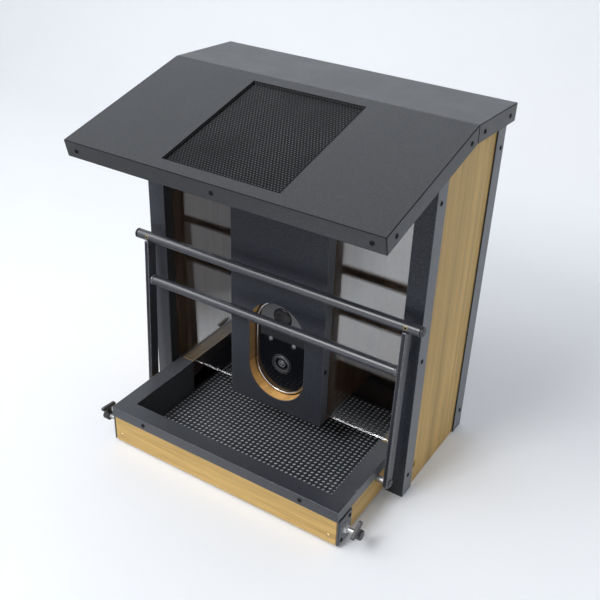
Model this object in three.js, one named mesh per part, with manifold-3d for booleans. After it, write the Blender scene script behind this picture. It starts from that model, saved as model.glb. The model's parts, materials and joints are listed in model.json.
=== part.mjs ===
// Smart bird feeder: a cedar hopper in steel corner posts, with a camera column between two
// windows, a hinged roof with a solar panel, and a pull-out seed tray with a fold-down perch.
// X runs to the right of someone who faces the feeder, Y to its back and Z up.
import * as THREE from 'three';
import { mergeVertices } from 'three/addons/utils/BufferGeometryUtils.js';
import Module from 'manifold-3d';

const wasm = await Module();
wasm.setup();

// Fits and cutting allowances; every length is in millimetres
const seat = 0.3;
const overrun = 5;
const weldDistance = 0.0001;
const sheetThick = 1.2;
const roundSides = 20;
const fineSides = 32;
const arcSteps = 16;

// Corner posts and wooden panels
const bodyWidth = 310;
const bodyDepth = 141;
const postThick = 1.5;
const panelThick = 15;
const backThick = 12;
const slotRadius = 1.8;
const slotLength = 5;
const slotSetback = 26;
const slotHeight = 24;

// Roof: its lengths are measured from the body's faces, the ridge's height from the floor
const roofSideOverhang = 5;
const roofFrontOverhang = 100;
const roofRearOverhang = 6;
const ridgeHeight = 371;
const ridgeSetback = 58;
const frontPitch = THREE.MathUtils.degToRad(13.75);
const rearPitch = THREE.MathUtils.degToRad(3);
const fasciaDepth = 17;
const deckThick = 15;
const seamGap = 0.5;

// Solar panel, let into the front slope, and the junction box under it
const solarWidth = 118;
const solarLength = 137;
const solarFromRidge = 12;
const solarInset = 1.6;
const solarThick = 3;
const junctionWidth = 40;
const junctionLength = 24;
const junctionThick = 7;

// Roof hinges
const hingeInset = 65;
const hingeLength = 42;
const leafThick = 1.5;
const leafHeight = 16;
const knuckleRadius = 3;
const hingePinRadius = 1.3;
const hingePinHead = 1;
const knuckleGap = 0.4;
const knuckleDrop = 0.8;
const bodyLeafHeight = 24;
const crankHeight = 8;

// Windows
const windowThick = 3;
const windowRimGap = 0.8;
const grooveDepth = 3;

// Camera column and the bay behind it
const columnWidth = 111;
const columnSetback = 3;
const columnDepth = 12.5;
const columnDip = 4.9;
const bayWallThick = 10;
const bayFloorThick = 8;

// Camera: a tall oval face in the column's cut-out
const cutoutRadius = 33.2;
const cameraStraight = 48;
const cameraRadius = 31;
const cameraNose = 0.5;
const cameraDepth = 46;
const cameraWall = 2;
const cameraFlange = 6;
const flangeThick = 2.5;
const ringThick = 2;
const faceThick = 2;
const faceInset = 0.8;
const lensMargin = 24;
const lensRadius = 9.5;
const lensGlassRadius = 7;
const lensGlassThick = 1.6;
const lensProud = 0.7;
const sensorMargin = 5.7;
const sensorRadius = 10.5;
const sensorBulge = 2.4;
const ledRise = 7;
const ledSpread = 14;
const ledRadius = 2.7;
const ledLength = 2.6;
const boardThick = 1.6;
const boardSetback = 9;
const boardMargin = 2.5;
const batteryWidth = 38;
const batteryGap = 1.5;
const batteryThick = 18;
const buttonRadius = 4.5;
const buttonMargin = 8.5;
const buttonProud = 1.4;
const buttonFlange = 1.2;

// Tray: a drawer on two runners
const trayReach = 96.7;
const rimTop = 45.9;
const rimThick = 1.2;
const lipHeight = 12;
const trayBoardThick = 15;
const trayBackThick = 12;
const trayBackGap = 8;
const trayRearGap = 2;
const traySideGap = 1;
const runnerThick = 1.2;
const runnerLift = 1.6;
const runnerWidth = 15;
const runnerHeight = 14;
const runnerSetback = 4;
const trayPlay = 0.4;
const floorRise = 1.8;
const floorGroove = 3;
const floorPitch = 15;
const floorHole = 9;
const floorMargin = 6;

// Corner plates and wing bolts at the tray's front corners
const plateWidth = 24;
const plateThick = 2.5;
const plateChamfer = 1.2;
const wingInset = 10.7;
const wingShankRadius = 2.5;
const wingShankDepth = 8;
const wingHubRadius = 5;
const wingHubLength = 7;
const wingRise = 10.5;
const wingSpan = 19;
const wingWidth = 4;
const wingThick = 3.5;
const wingStemWidth = 7;
const wingTurns = { left: -5, right: 30 };

// Perch frame: two arms on the tray's sides, with an upper and a lower bar
const pivotSetout = 19.5;
const perchLean = THREE.MathUtils.degToRad(2.4);
const upperBarReach = 175;
const lowerBarReach = 127;
const upperBarOverhang = 13.5;
const barRadius = 5;
const barBoreRadius = 4;
const capThick = 2.4;
const capPlugLength = 6;
const armSideGap = 6.5;
const armThick = 5;
const armWidth = 12;
const armSaddle = 1.5;
const perchRestGap = 0.5;
const pivotRadius = 2;
const pivotAnchor = 9;
const pivotHeadRadius = 4;
const pivotHeadThick = 1.5;
const spacerRadius = 3.6;

// Screws, and where they stand
const screwHeadRadius = 2.3;
const screwHeadHeight = 1;
const screwSides = 8;
const fasciaScrewInset = 12.5;
const slopeScrewInset = 15;
const postScrewInset = 8;
const postScrewDrop = 24;
const postScrewRise = 24;
const postMiddleScrew = 160;
const columnScrewInset = 4.5;
const columnScrewDrop = 40;
const columnScrewRise = 66;
const rimScrewInset = 41.4;
const boardScrewInset = 8.2;
const boardScrewHeight = 12;
const plateScrewInset = 5;

// Planes and heights that the pieces share, from the body's front face at y = 0
const postX = bodyWidth / 2;
const panelOuter = postX - postThick - seat;
const panelInner = panelOuter - panelThick;
const backFace = bodyDepth - postThick - seat;
const backInner = backFace - backThick;
const deckTop = sheetThick + seat;
const deckBottom = deckTop + deckThick;
const bodyTop = deckBottom + seat;
const frontRun = (ridgeSetback + roofFrontOverhang) / Math.cos(frontPitch);
const rearRun = (bodyDepth + roofRearOverhang - ridgeSetback) / Math.cos(rearPitch);
const roofX = postX + roofSideOverhang;
const deckX = roofX - sheetThick - seat;
const hingeX = postX - hingeInset;
const columnX = columnWidth / 2;
const columnRear = columnSetback + columnDepth;
const columnLift = rimTop - columnDip;
const bayFront = columnRear + seat;
const bayOuter = columnX - seat;
const bayInner = bayOuter - bayWallThick;
const bayRear = backInner - seat;
const windowFront = columnRear + seat;
const windowRear = windowFront + windowThick;
const windowLift = rimTop + windowRimGap;
const cutoutLow = columnLift + bayFloorThick + seat + cameraFlange + cameraRadius;
const cutoutHigh = cutoutLow + cameraStraight;
const housingFront = bayFront - cameraNose;
const housingRear = housingFront + cameraDepth;
const housingInside = housingRear - cameraWall - seat;
const ringFront = housingFront - seat - ringThick;
const faceFront = ringFront + faceInset;
const faceRadius = cameraRadius - cameraWall - seat;
const lensHeight = cutoutLow - faceRadius + lensMargin + lensRadius;
const sensorHeight = cutoutHigh + faceRadius - sensorMargin - sensorRadius;
const ledHeight = (cutoutLow + cutoutHigh) / 2 + ledRise;
const buttonHeight = cutoutHigh + cameraRadius - buttonMargin - buttonRadius;
const boardFront = housingFront + boardSetback;
const runnerX = panelInner - seat;
const trayX = runnerX - runnerThick - traySideGap;
const postLeg = postX - trayX - seat;
const trayBoardX = trayX - rimThick - seat;
const trayInner = trayBoardX - trayBoardThick;
const trayBottom = runnerLift + runnerThick + trayPlay;
const trayBoardTop = rimTop - rimThick - seat;
const trayBoardFront = -trayReach + rimThick + seat;
const trayWellFront = trayBoardFront + trayBoardThick;
const trayRear = backInner - trayRearGap;
const trayWellRear = trayRear - trayBackThick;
const floorTop = trayBottom + floorRise + sheetThick;
const lipBottom = rimTop - lipHeight;
const plateX = trayBoardX + seat + plateThick;
const plateTop = lipBottom - seat;
const plateRear = trayBoardFront + plateWidth;
const armInner = plateX + armSideGap;
const armOuter = armInner + armThick;
const pivotHeight = lipBottom - seat - spacerRadius;
const upperBarLength = 2 * (armOuter + upperBarOverhang);
const wingSetout = trayReach - wingInset;
const wingHeight = pivotHeight - armWidth / 2 - perchRestGap - wingShankRadius;
const hubInner = armOuter + seat + seat;

// Points of the two slopes: run goes down a slope from the ridge, depth square into it
function frontSlope(run, depth) {
  const y = ridgeSetback - run * Math.cos(frontPitch) + depth * Math.sin(frontPitch);
  const z = ridgeHeight - run * Math.sin(frontPitch) - depth * Math.cos(frontPitch);
  return [y, z];
}

function rearSlope(run, depth) {
  const y = ridgeSetback + run * Math.cos(rearPitch) - depth * Math.sin(rearPitch);
  const z = ridgeHeight - run * Math.sin(rearPitch) - depth * Math.cos(rearPitch);
  return [y, z];
}

function frontHeight(y, depth) {
  return ridgeHeight - (ridgeSetback - y) * Math.tan(frontPitch) - depth / Math.cos(frontPitch);
}

function rearHeight(y, depth) {
  return ridgeHeight - (y - ridgeSetback) * Math.tan(rearPitch) - depth / Math.cos(rearPitch);
}

// The line where the two slopes meet at a depth, moved sideways by a shift
function ridgeAt(depth, shift = 0) {
  const spread = 1 / Math.cos(frontPitch) - 1 / Math.cos(rearPitch);
  const y = ridgeSetback + (depth * spread) / (Math.tan(frontPitch) + Math.tan(rearPitch));
  const height = shift < 0 ? frontHeight(y + shift, depth) : rearHeight(y + shift, depth);
  return [y + shift, height];
}

// Finishes
function finish(colour, roughness, metalness, opacity = 1) {
  return new THREE.MeshStandardMaterial({
    color: colour,
    roughness,
    metalness,
    opacity,
    transparent: opacity < 1,
  });
}

const finishes = {
  cedar: () => finish(0xc49a60, 0.7, 0),
  innerWood: () => finish(0xa97f4c, 0.8, 0),
  blackSteel: () => finish(0x3a3b40, 0.5, 0.3),
  perchSteel: () => finish(0x4a4c52, 0.35, 0.6),
  zinc: () => finish(0xa8abb0, 0.35, 0.9),
  chrome: () => finish(0xd8dade, 0.1, 1),
  glossBlack: () => finish(0x0c0c0e, 0.1, 0),
  matteBlack: () => finish(0x1b1c1e, 0.6, 0),
  acrylic: () => finish(0xe6eef0, 0.05, 0, 0.3),
  solar: () => finish(0x1c1d22, 0.4, 0.1),
  green: () => finish(0x1f6b3a, 0.6, 0),
  led: () => finish(0xc9ccd2, 0.2, 0),
};

// Solids and booleans
function toSolid(geometry) {
  const bare = geometry.index ? geometry.toNonIndexed() : geometry.clone();
  bare.deleteAttribute('normal');
  bare.deleteAttribute('uv');
  const merged = mergeVertices(bare, weldDistance);
  const vertProperties = new Float32Array(merged.attributes.position.array);
  const triVerts = new Uint32Array(merged.index.array);
  return new wasm.Manifold(new wasm.Mesh({ numProp: 3, vertProperties, triVerts }));
}

function toGeometry(solid) {
  const mesh = solid.getMesh();
  const geometry = new THREE.BufferGeometry();
  geometry.setAttribute('position', new THREE.BufferAttribute(mesh.vertProperties, 3));
  geometry.setIndex(new THREE.BufferAttribute(mesh.triVerts, 1));
  const split = geometry.toNonIndexed();
  split.computeVertexNormals();
  return split;
}

function join(...geometries) {
  return toGeometry(geometries.map(toSolid).reduce((sum, solid) => sum.add(solid)));
}

function cut(geometry, ...cutters) {
  return toGeometry(cutters.map(toSolid).reduce((rest, solid) => rest.subtract(solid), toSolid(geometry)));
}

function block([x0, x1], [y0, y1], [z0, z1]) {
  const geometry = new THREE.BoxGeometry(Math.abs(x1 - x0), y1 - y0, z1 - z0);
  return geometry.translate((x0 + x1) / 2, (y0 + y1) / 2, (z0 + z1) / 2);
}

function outline(points) {
  return new THREE.Shape(points.map(([u, v]) => new THREE.Vector2(u, v)));
}

function extrude(shape, depth) {
  return new THREE.ExtrudeGeometry(shape, { depth, bevelEnabled: false, curveSegments: arcSteps });
}

// An outline of (y, z) points drawn out along X
function alongX(points, [x0, x1]) {
  const turn = new THREE.Matrix4().makeBasis(
    new THREE.Vector3(0, 1, 0),
    new THREE.Vector3(0, 0, 1),
    new THREE.Vector3(1, 0, 0),
  );
  const start = Math.min(x0, x1);
  return extrude(outline(points), Math.abs(x1 - x0)).applyMatrix4(turn).translate(start, 0, 0);
}

// A shape of (x, z) points drawn out along Y
function alongY(shape, [y0, y1]) {
  return extrude(shape, y1 - y0).rotateX(Math.PI / 2).translate(0, y1, 0);
}

function rodX(radius, [x0, x1], y, z, sides = roundSides) {
  const rod = new THREE.CylinderGeometry(radius, radius, Math.abs(x1 - x0), sides);
  return rod.rotateZ(Math.PI / 2).translate((x0 + x1) / 2, y, z);
}

function rodY(radius, [y0, y1], x, z, sides = roundSides) {
  const rod = new THREE.CylinderGeometry(radius, radius, y1 - y0, sides);
  return rod.translate(x, (y0 + y1) / 2, z);
}

// The upright oval of the camera and its cut-out
function oval(radius) {
  const shape = new THREE.Shape();
  shape.absarc(0, cutoutHigh, radius, 0, Math.PI, false);
  shape.absarc(0, cutoutLow, radius, Math.PI, 2 * Math.PI, false);
  shape.closePath();
  return shape;
}

function ovalRing(outerRadius, innerRadius) {
  const shape = oval(outerRadius);
  shape.holes.push(oval(innerRadius));
  return shape;
}

// A screw's head, standing on a surface at a point
function screwHead([x, y, z], outward) {
  const height = screwHeadHeight + seat;
  const head = new THREE.CylinderGeometry(screwHeadRadius, screwHeadRadius, height, screwSides);
  const turn = new THREE.Quaternion().setFromUnitVectors(new THREE.Vector3(0, 1, 0), outward);
  return head.translate(0, height / 2 - seat, 0).applyQuaternion(turn).translate(x, y, z);
}

function screwHeads(places, outward) {
  return places.map((place) => screwHead(place, outward));
}

function sideways(side) {
  return new THREE.Vector3(side, 0, 0);
}

const forwards = new THREE.Vector3(0, -1, 0);

// The space that the roof fills above the body, for cutting the tops of uprights
function roofSpace() {
  const reach = bodyDepth + overrun;
  const points = [
    [-overrun, frontHeight(-overrun, bodyTop)],
    ridgeAt(bodyTop),
    [reach, rearHeight(reach, bodyTop)],
    [reach, ridgeHeight + overrun],
    [-overrun, ridgeHeight + overrun],
  ];
  return alongX(points, [-roofX, roofX]);
}

// An upright board's outline from front to back under both slopes
function underRoof(front, rear, bottom) {
  const top = [[rear, rearHeight(rear, bodyTop)], ridgeAt(bodyTop), [front, frontHeight(front, bodyTop)]];
  return [[front, bottom], [rear, bottom], ...top];
}

// Screw places on the housing: a side of 1 is the right, -1 the left
function postScrewPlaces(side, front) {
  const y = front ? postScrewInset : bodyDepth - postScrewInset;
  const top = (front ? frontHeight(y, bodyTop) : rearHeight(y, bodyTop)) - postScrewDrop;
  const heights = front ? [postScrewRise, postMiddleScrew, top] : [postScrewRise, top];
  return heights.map((z) => [side * postX, y, z]);
}

function columnScrewPlaces(side) {
  const y = columnSetback + columnScrewInset;
  const heights = [columnLift + columnScrewRise, frontHeight(y, bodyTop) - columnScrewDrop];
  return heights.map((z) => [side * columnX, y, z]);
}

// Housing
function cornerPost(side, front) {
  const face = front ? 0 : bodyDepth;
  const inward = front ? 1 : -1;
  const leg = [side * (postX - postLeg), face];
  const points = [
    leg,
    [side * postX, face],
    [side * postX, face + inward * postLeg],
    [side * (postX - postThick), face + inward * postLeg],
    [side * (postX - postThick), face + inward * postThick],
    [side * (postX - postLeg), face + inward * postThick],
  ];
  const section = extrude(outline(points), ridgeHeight);
  return join(cut(section, roofSpace()), ...screwHeads(postScrewPlaces(side, front), sideways(side)));
}

function windowGroove(side, [inner, outer], front) {
  return block([side * inner, side * outer], [front, windowRear + seat], [windowLift - seat, ridgeHeight]);
}

function sidePanel(side) {
  const front = postThick + seat;
  const x = [side * panelInner, side * panelOuter];
  const board = alongX(underRoof(front, backInner - seat, 0), x);
  const reach = [panelInner - overrun, panelInner + grooveDepth + seat];
  const groove = windowGroove(side, reach, windowFront - seat);
  return cut(board, groove, sideSlot(side));
}

function sideSlot(side) {
  const shape = new THREE.Shape();
  shape.absarc(slotSetback, slotHeight + slotLength / 2, slotRadius, 0, Math.PI, false);
  shape.absarc(slotSetback, slotHeight - slotLength / 2, slotRadius, Math.PI, 2 * Math.PI, false);
  const points = shape.getPoints(arcSteps).map((point) => [point.x, point.y]);
  return alongX(points, [side * (panelInner - overrun), side * (panelOuter + overrun)]);
}

function backPanel() {
  return cut(block([-panelOuter, panelOuter], [backInner, backFace], [0, ridgeHeight]), roofSpace());
}

function trayRunner(side) {
  const wall = block(
    [side * (runnerX - runnerThick), side * runnerX],
    [runnerSetback, trayRear],
    [runnerLift, runnerLift + runnerHeight],
  );
  const ledge = block(
    [side * (runnerX - runnerWidth), side * runnerX],
    [runnerSetback, trayRear],
    [runnerLift, runnerLift + runnerThick],
  );
  return join(wall, ledge);
}

function windowPane(side) {
  const inner = bayOuter - grooveDepth;
  const outer = panelInner + grooveDepth;
  const top = frontHeight(windowFront, bodyTop) - seat;
  return block([side * inner, side * outer], [windowFront, windowRear], [windowLift, top]);
}

function bayWall(side) {
  const wall = alongX(underRoof(bayFront, bayRear, columnLift), [side * bayInner, side * bayOuter]);
  const reach = [bayOuter - grooveDepth - seat, bayOuter + overrun];
  return cut(wall, windowGroove(side, reach, bayFront - overrun));
}

function bayFloor() {
  const x = bayInner - seat;
  return block([-x, x], [bayFront, bayRear], [columnLift, columnLift + bayFloorThick]);
}

function columnCover() {
  const outer = block([-columnX, columnX], [columnSetback, columnRear], [columnLift, ridgeHeight]);
  const x = columnX - sheetThick;
  const inner = block(
    [-x, x],
    [columnSetback + sheetThick, columnRear + overrun],
    [columnLift - overrun, ridgeHeight + overrun],
  );
  const window = alongY(oval(cutoutRadius), [columnSetback - overrun, columnRear]);
  const heads = [-1, 1].flatMap((side) => screwHeads(columnScrewPlaces(side), sideways(side)));
  return join(cut(outer, inner, window, roofSpace()), ...heads);
}

function columnCore() {
  const x = columnX - sheetThick - seat;
  const y = [columnSetback + sheetThick + seat, columnRear];
  const board = block([-x, x], y, [columnLift, ridgeHeight]);
  const bore = alongY(oval(cutoutRadius), [columnSetback - overrun, columnRear + overrun]);
  return cut(board, bore, roofSpace());
}

// Camera
function cameraRing() {
  return alongY(ovalRing(cameraRadius, cameraRadius - cameraWall), [ringFront, ringFront + ringThick]);
}

function cameraHousing() {
  const cup = alongY(oval(cameraRadius), [housingFront, housingRear]);
  const flange = alongY(oval(cameraRadius + cameraFlange), [bayFront, bayFront + flangeThick]);
  const hollow = alongY(oval(cameraRadius - cameraWall), [housingFront - overrun, housingRear - cameraWall]);
  const rear = [housingRear - overrun, housingRear + overrun];
  const buttonHole = rodY(buttonRadius + seat, rear, 0, buttonHeight);
  return cut(join(cup, flange), hollow, buttonHole);
}

function cameraFace() {
  const plate = alongY(oval(faceRadius), [faceFront, faceFront + faceThick]);
  const y = [faceFront - overrun, faceFront + overrun];
  const lensHole = rodY(lensRadius + seat, y, 0, lensHeight, fineSides);
  const sensorHole = rodY(sensorRadius + seat, y, 0, sensorHeight, fineSides);
  const ledHole = (side) => rodY(ledRadius + seat, y, side * ledSpread, ledHeight, screwSides);
  return cut(plate, lensHole, sensorHole, ledHole(-1), ledHole(1));
}

function lensBarrel() {
  const y = [faceFront - lensProud, boardFront - seat];
  const seatDepth = lensGlassThick + lensProud;
  const bore = rodY(lensGlassRadius + seat, [y[0] - overrun, y[0] + seatDepth], 0, lensHeight, fineSides);
  return cut(rodY(lensRadius, y, 0, lensHeight, fineSides), bore);
}

function lensGlass() {
  const y = [faceFront, faceFront + lensGlassThick - seat];
  return rodY(lensGlassRadius, y, 0, lensHeight, fineSides);
}

function sensorWindow() {
  const rings = 4;
  const rear = sensorBulge + faceThick;
  const profile = [[0, 0]];
  for (let ring = 1; ring <= rings; ring += 1) {
    const angle = (ring / rings) * (Math.PI / 2);
    profile.push([sensorRadius * Math.sin(angle), sensorBulge * (1 - Math.cos(angle))]);
  }
  profile.push([sensorRadius, rear], [0, rear]);
  const points = profile.map(([radius, back]) => new THREE.Vector2(radius, back));
  const dome = new THREE.LatheGeometry(points, roundSides);
  return dome.translate(0, faceFront - sensorBulge, sensorHeight);
}

function infraredLed(side) {
  const y = [faceFront - seat, faceFront - seat + ledLength];
  return rodY(ledRadius, y, side * ledSpread, ledHeight, screwSides);
}

function cameraBoard() {
  return alongY(oval(cameraRadius - cameraWall - boardMargin), [boardFront, boardFront + boardThick]);
}

function batteryPack() {
  const x = [-batteryWidth / 2, batteryWidth / 2];
  const reach = Math.sqrt((faceRadius - batteryGap) ** 2 - x[1] ** 2);
  const top = buttonHeight - buttonRadius - buttonFlange - batteryGap;
  return block(x, [housingInside - batteryThick, housingInside], [cutoutLow - reach, top]);
}

function powerButton() {
  const front = housingInside - buttonFlange;
  const stem = rodY(buttonRadius, [front, housingRear + buttonProud], 0, buttonHeight);
  const flange = rodY(buttonRadius + buttonFlange, [front, housingInside], 0, buttonHeight);
  return join(stem, flange);
}

// Roof
function frontSheet() {
  const half = seamGap / 2;
  const bend = frontRun - sheetThick;
  const skin = alongX(
    [
      ridgeAt(0, -half),
      frontSlope(frontRun, 0),
      frontSlope(frontRun, fasciaDepth),
      frontSlope(bend, fasciaDepth),
      frontSlope(bend, sheetThick),
      ridgeAt(sheetThick, -half),
    ],
    [-roofX, roofX],
  );
  const cheek = [
    ridgeAt(0, -half),
    frontSlope(frontRun, 0),
    frontSlope(frontRun, fasciaDepth),
    ridgeAt(fasciaDepth, -half),
  ];
  const cheeks = [-1, 1].map((side) => alongX(cheek, [side * (roofX - sheetThick), side * roofX]));
  const heads = [...roofSideHeads(frontSlope, frontRun), ...screwHeads(fasciaPlaces(), downSlope())];
  return join(cut(join(skin, ...cheeks), solarOpening(sheetThick + overrun)), ...heads);
}

function rearSheet() {
  const half = seamGap / 2;
  const bend = rearRun - sheetThick;
  const skin = alongX(
    [
      ridgeAt(0, half),
      ridgeAt(sheetThick, half),
      rearSlope(bend, sheetThick),
      rearSlope(bend, fasciaDepth),
      rearSlope(rearRun, fasciaDepth),
      rearSlope(rearRun, 0),
    ],
    [-roofX, roofX],
  );
  const cheek = [
    ridgeAt(0, half),
    ridgeAt(fasciaDepth, half),
    rearSlope(rearRun, fasciaDepth),
    rearSlope(rearRun, 0),
  ];
  const cheeks = [-1, 1].map((side) => alongX(cheek, [side * (roofX - sheetThick), side * roofX]));
  return join(skin, ...cheeks, ...roofSideHeads(rearSlope, rearRun));
}

// A block let into the front slope, from one run and depth to another
function slopeBlock([run0, run1], [depth0, depth1], width) {
  const points = [
    frontSlope(run0, depth0),
    frontSlope(run1, depth0),
    frontSlope(run1, depth1),
    frontSlope(run0, depth1),
  ];
  return alongX(points, [-width / 2, width / 2]);
}

function solarOpening(depth) {
  return slopeBlock([solarFromRidge, solarFromRidge + solarLength], [-overrun, depth], solarWidth);
}

function junctionRuns(margin) {
  const middle = solarFromRidge + solarLength / 2;
  return [middle - junctionLength / 2 - margin, middle + junctionLength / 2 + margin];
}

const solarBottom = solarInset + solarThick;
const junctionBottom = solarBottom + seat + junctionThick;

function frontDeck() {
  const half = seamGap / 2;
  const end = frontRun - sheetThick - seat;
  const points = [
    ridgeAt(deckTop, -half),
    frontSlope(end, deckTop),
    frontSlope(end, deckBottom),
    ridgeAt(deckBottom, -half),
  ];
  const board = alongX(points, [-deckX, deckX]);
  const depths = [0, junctionBottom + seat];
  const junctionPocket = slopeBlock(junctionRuns(seat), depths, junctionWidth + 2 * seat);
  return cut(board, solarOpening(solarBottom + seat), junctionPocket);
}

function rearDeck() {
  const half = seamGap / 2;
  const end = rearRun - sheetThick - seat;
  const points = [
    ridgeAt(deckTop, half),
    ridgeAt(deckBottom, half),
    rearSlope(end, deckBottom),
    rearSlope(end, deckTop),
  ];
  return alongX(points, [-deckX, deckX]);
}

function solarPanel() {
  const runs = [solarFromRidge + seat, solarFromRidge + solarLength - seat];
  return slopeBlock(runs, [solarInset, solarBottom], solarWidth - 2 * seat);
}

function junctionBox() {
  return slopeBlock(junctionRuns(0), [solarBottom + seat, junctionBottom], junctionWidth);
}

function roofSideHeads(slope, run) {
  const depth = deckTop + deckThick / 2;
  const ends = [slope(slopeScrewInset, depth), slope(run - slopeScrewInset, depth)];
  return [-1, 1].flatMap((side) => {
    const places = ends.map(([y, z]) => [side * roofX, y, z]);
    return screwHeads(places, sideways(side));
  });
}

function fasciaPlaces() {
  const [y, z] = frontSlope(frontRun, deckTop + deckThick / 2);
  return [-1, 0, 1].map((side) => [side * (roofX - fasciaScrewInset), y, z]);
}

function downSlope() {
  return new THREE.Vector3(0, -Math.cos(frontPitch), -Math.sin(frontPitch));
}

// Roof hinges: two cranked butt hinges whose axis lies just below and behind the rear fascia
function hingeAxis() {
  return rearSlope(rearRun + seat + knuckleRadius, fasciaDepth + knuckleRadius + knuckleDrop);
}

// The three knuckles of a hinge, left to right, about its middle
function knuckleSpans(centreX) {
  const pitch = hingeLength / 3;
  return [-1, 0, 1].map((place) => {
    const middle = centreX + place * pitch;
    return [middle - (pitch - knuckleGap) / 2, middle + (pitch - knuckleGap) / 2];
  });
}

function knuckle(span) {
  const [y, z] = hingeAxis();
  return rodX(knuckleRadius, span, y, z);
}

function knuckleBore(centreX) {
  const [y, z] = hingeAxis();
  return rodX(hingePinRadius + seat, [centreX - hingeLength, centreX + hingeLength], y, z);
}

function roofLeaf(centreX) {
  const inner = rearRun + seat;
  const outer = inner + leafThick;
  const axisDepth = fasciaDepth + knuckleRadius + knuckleDrop;
  const plateBottom = axisDepth - knuckleRadius - seat;
  const plateTop = plateBottom - leafHeight + knuckleDrop;
  const strip = (low, high, span) => {
    const bottom = [rearSlope(inner, low), rearSlope(outer, low)];
    const top = [rearSlope(outer, high), rearSlope(inner, high)];
    return alongX([...bottom, ...top], span);
  };
  const plate = strip(plateBottom, plateTop, [centreX - hingeLength / 2, centreX + hingeLength / 2]);
  const [left, , right] = knuckleSpans(centreX);
  const tongues = [left, right].map((span) => strip(axisDepth, plateBottom - seat, span));
  return cut(join(plate, ...tongues, knuckle(left), knuckle(right)), knuckleBore(centreX));
}

function bodyLeaf(centreX) {
  const [axisY, axisZ] = hingeAxis();
  const outerY = axisY - knuckleRadius;
  const wallY = backFace + seat;
  const shoulder = axisZ - knuckleRadius - seat;
  const crankTop = shoulder - leafThick;
  const crankBottom = crankTop - crankHeight;
  const foot = crankBottom - bodyLeafHeight;
  const cranked = [
    [wallY, foot],
    [wallY + leafThick, foot],
    [wallY + leafThick, crankBottom],
    [outerY + leafThick, crankTop],
    [outerY + leafThick, shoulder],
    [outerY, shoulder],
    [outerY, crankTop + leafThick / 2],
    [wallY, crankBottom + leafThick / 2],
  ];
  const plate = alongX(cranked, [centreX - hingeLength / 2, centreX + hingeLength / 2]);
  const [, middle] = knuckleSpans(centreX);
  const tongue = block(middle, [outerY, outerY + leafThick], [shoulder - seat, axisZ]);
  return cut(join(plate, tongue, knuckle(middle)), knuckleBore(centreX));
}

function hingePin(centreX) {
  const [y, z] = hingeAxis();
  const reach = hingeLength / 2 + seat;
  const tip = reach + hingePinHead;
  const rod = rodX(hingePinRadius, [centreX - tip, centreX + tip], y, z, screwSides);
  const heads = [-1, 1].map((side) => {
    const span = [centreX + side * reach, centreX + side * tip];
    return rodX(knuckleRadius - seat, span, y, z, screwSides);
  });
  return join(rod, ...heads);
}

// Tray
function floorGrooveCut() {
  const x = trayInner + floorGroove + seat;
  const y = [trayWellFront - floorGroove - seat, trayWellRear + floorGroove + seat];
  return block([-x, x], y, [floorTop - sheetThick - seat, floorTop + seat]);
}

function boardScrewPlaces() {
  return [-1, 1].map((side) => [side * (trayBoardX - boardScrewInset), trayBoardFront, boardScrewHeight]);
}

function rimScrewPlaces() {
  return [-1, 1].map((side) => [side * (trayX - rimScrewInset), -trayReach, rimTop - lipHeight / 2]);
}

function plateScrewPlaces(side) {
  const low = [side * plateX, trayBoardFront + plateScrewInset, trayBottom + plateScrewInset];
  const high = [side * plateX, plateRear - plateScrewInset, plateTop - plateScrewInset];
  return [low, high];
}

function wingHole(side) {
  const inner = trayBoardX - wingShankDepth - seat;
  return rodX(wingShankRadius + seat, [side * inner, side * (plateX + overrun)], -wingSetout, wingHeight);
}

function pivotHole(side) {
  const inner = trayBoardX - pivotAnchor - seat;
  return rodX(pivotRadius + seat, [side * inner, side * (trayBoardX + overrun)], -pivotSetout, pivotHeight);
}

function trayFrontBoard() {
  const y = [trayBoardFront, trayWellFront];
  const board = block([-trayBoardX, trayBoardX], y, [trayBottom, trayBoardTop]);
  const bored = cut(board, floorGrooveCut(), wingHole(-1), wingHole(1));
  return join(bored, ...screwHeads(boardScrewPlaces(), forwards));
}

function traySideBoard(side) {
  const x = [side * trayInner, side * trayBoardX];
  const board = block(x, [trayWellFront + seat, trayRear], [trayBottom, trayBoardTop]);
  return cut(board, floorGrooveCut(), pivotHole(side));
}

function trayBackBoard() {
  const x = trayInner - seat;
  const board = block([-x, x], [trayWellRear, trayRear], [trayBottom, columnLift - trayBackGap]);
  return cut(board, floorGrooveCut());
}

// The folded sheet over the boards: a lip outside, a flat top, and a skirt that lines the well
function trayRim() {
  const rear = windowFront - seat;
  const x = trayX - rimThick;
  const skirtX = trayInner - seat;
  const skirtFront = trayWellFront + seat;
  const wellX = skirtX - rimThick;
  const under = [floorTop, rimTop - rimThick];
  const outer = block([-trayX, trayX], [-trayReach, rear], [lipBottom, rimTop]);
  const boards = block([-x, x], [-trayReach + rimThick, rear + overrun], under);
  const lined = block([-skirtX, skirtX], [skirtFront, rear], [floorTop + seat, rimTop]);
  const well = block([-wellX, wellX], [skirtFront + rimThick, rear + overrun], [0, rimTop + overrun]);
  const folded = cut(join(cut(outer, boards), lined), well);
  return join(folded, ...screwHeads(rimScrewPlaces(), forwards));
}

// The punched floor: rows of square holes inside a plain margin
function trayFloor() {
  const x = trayInner + floorGroove;
  const z = [floorTop - sheetThick, floorTop];
  const plate = block([-x, x], [trayWellFront - floorGroove, trayWellRear + floorGroove], z);
  const columns = Math.floor((2 * (trayInner - floorMargin)) / floorPitch);
  const rows = Math.floor((trayWellRear - trayWellFront - 2 * floorMargin) / floorPitch);
  const middleY = (trayWellFront + trayWellRear) / 2;
  const holes = [];
  for (let row = 0; row < rows; row += 1) {
    for (let column = 0; column < columns; column += 1) {
      const holeX = (column - (columns - 1) / 2) * floorPitch;
      const holeY = middleY + (row - (rows - 1) / 2) * floorPitch;
      holes.push(floorHoleCut(holeX, holeY));
    }
  }
  return cut(plate, ...holes);
}

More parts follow.
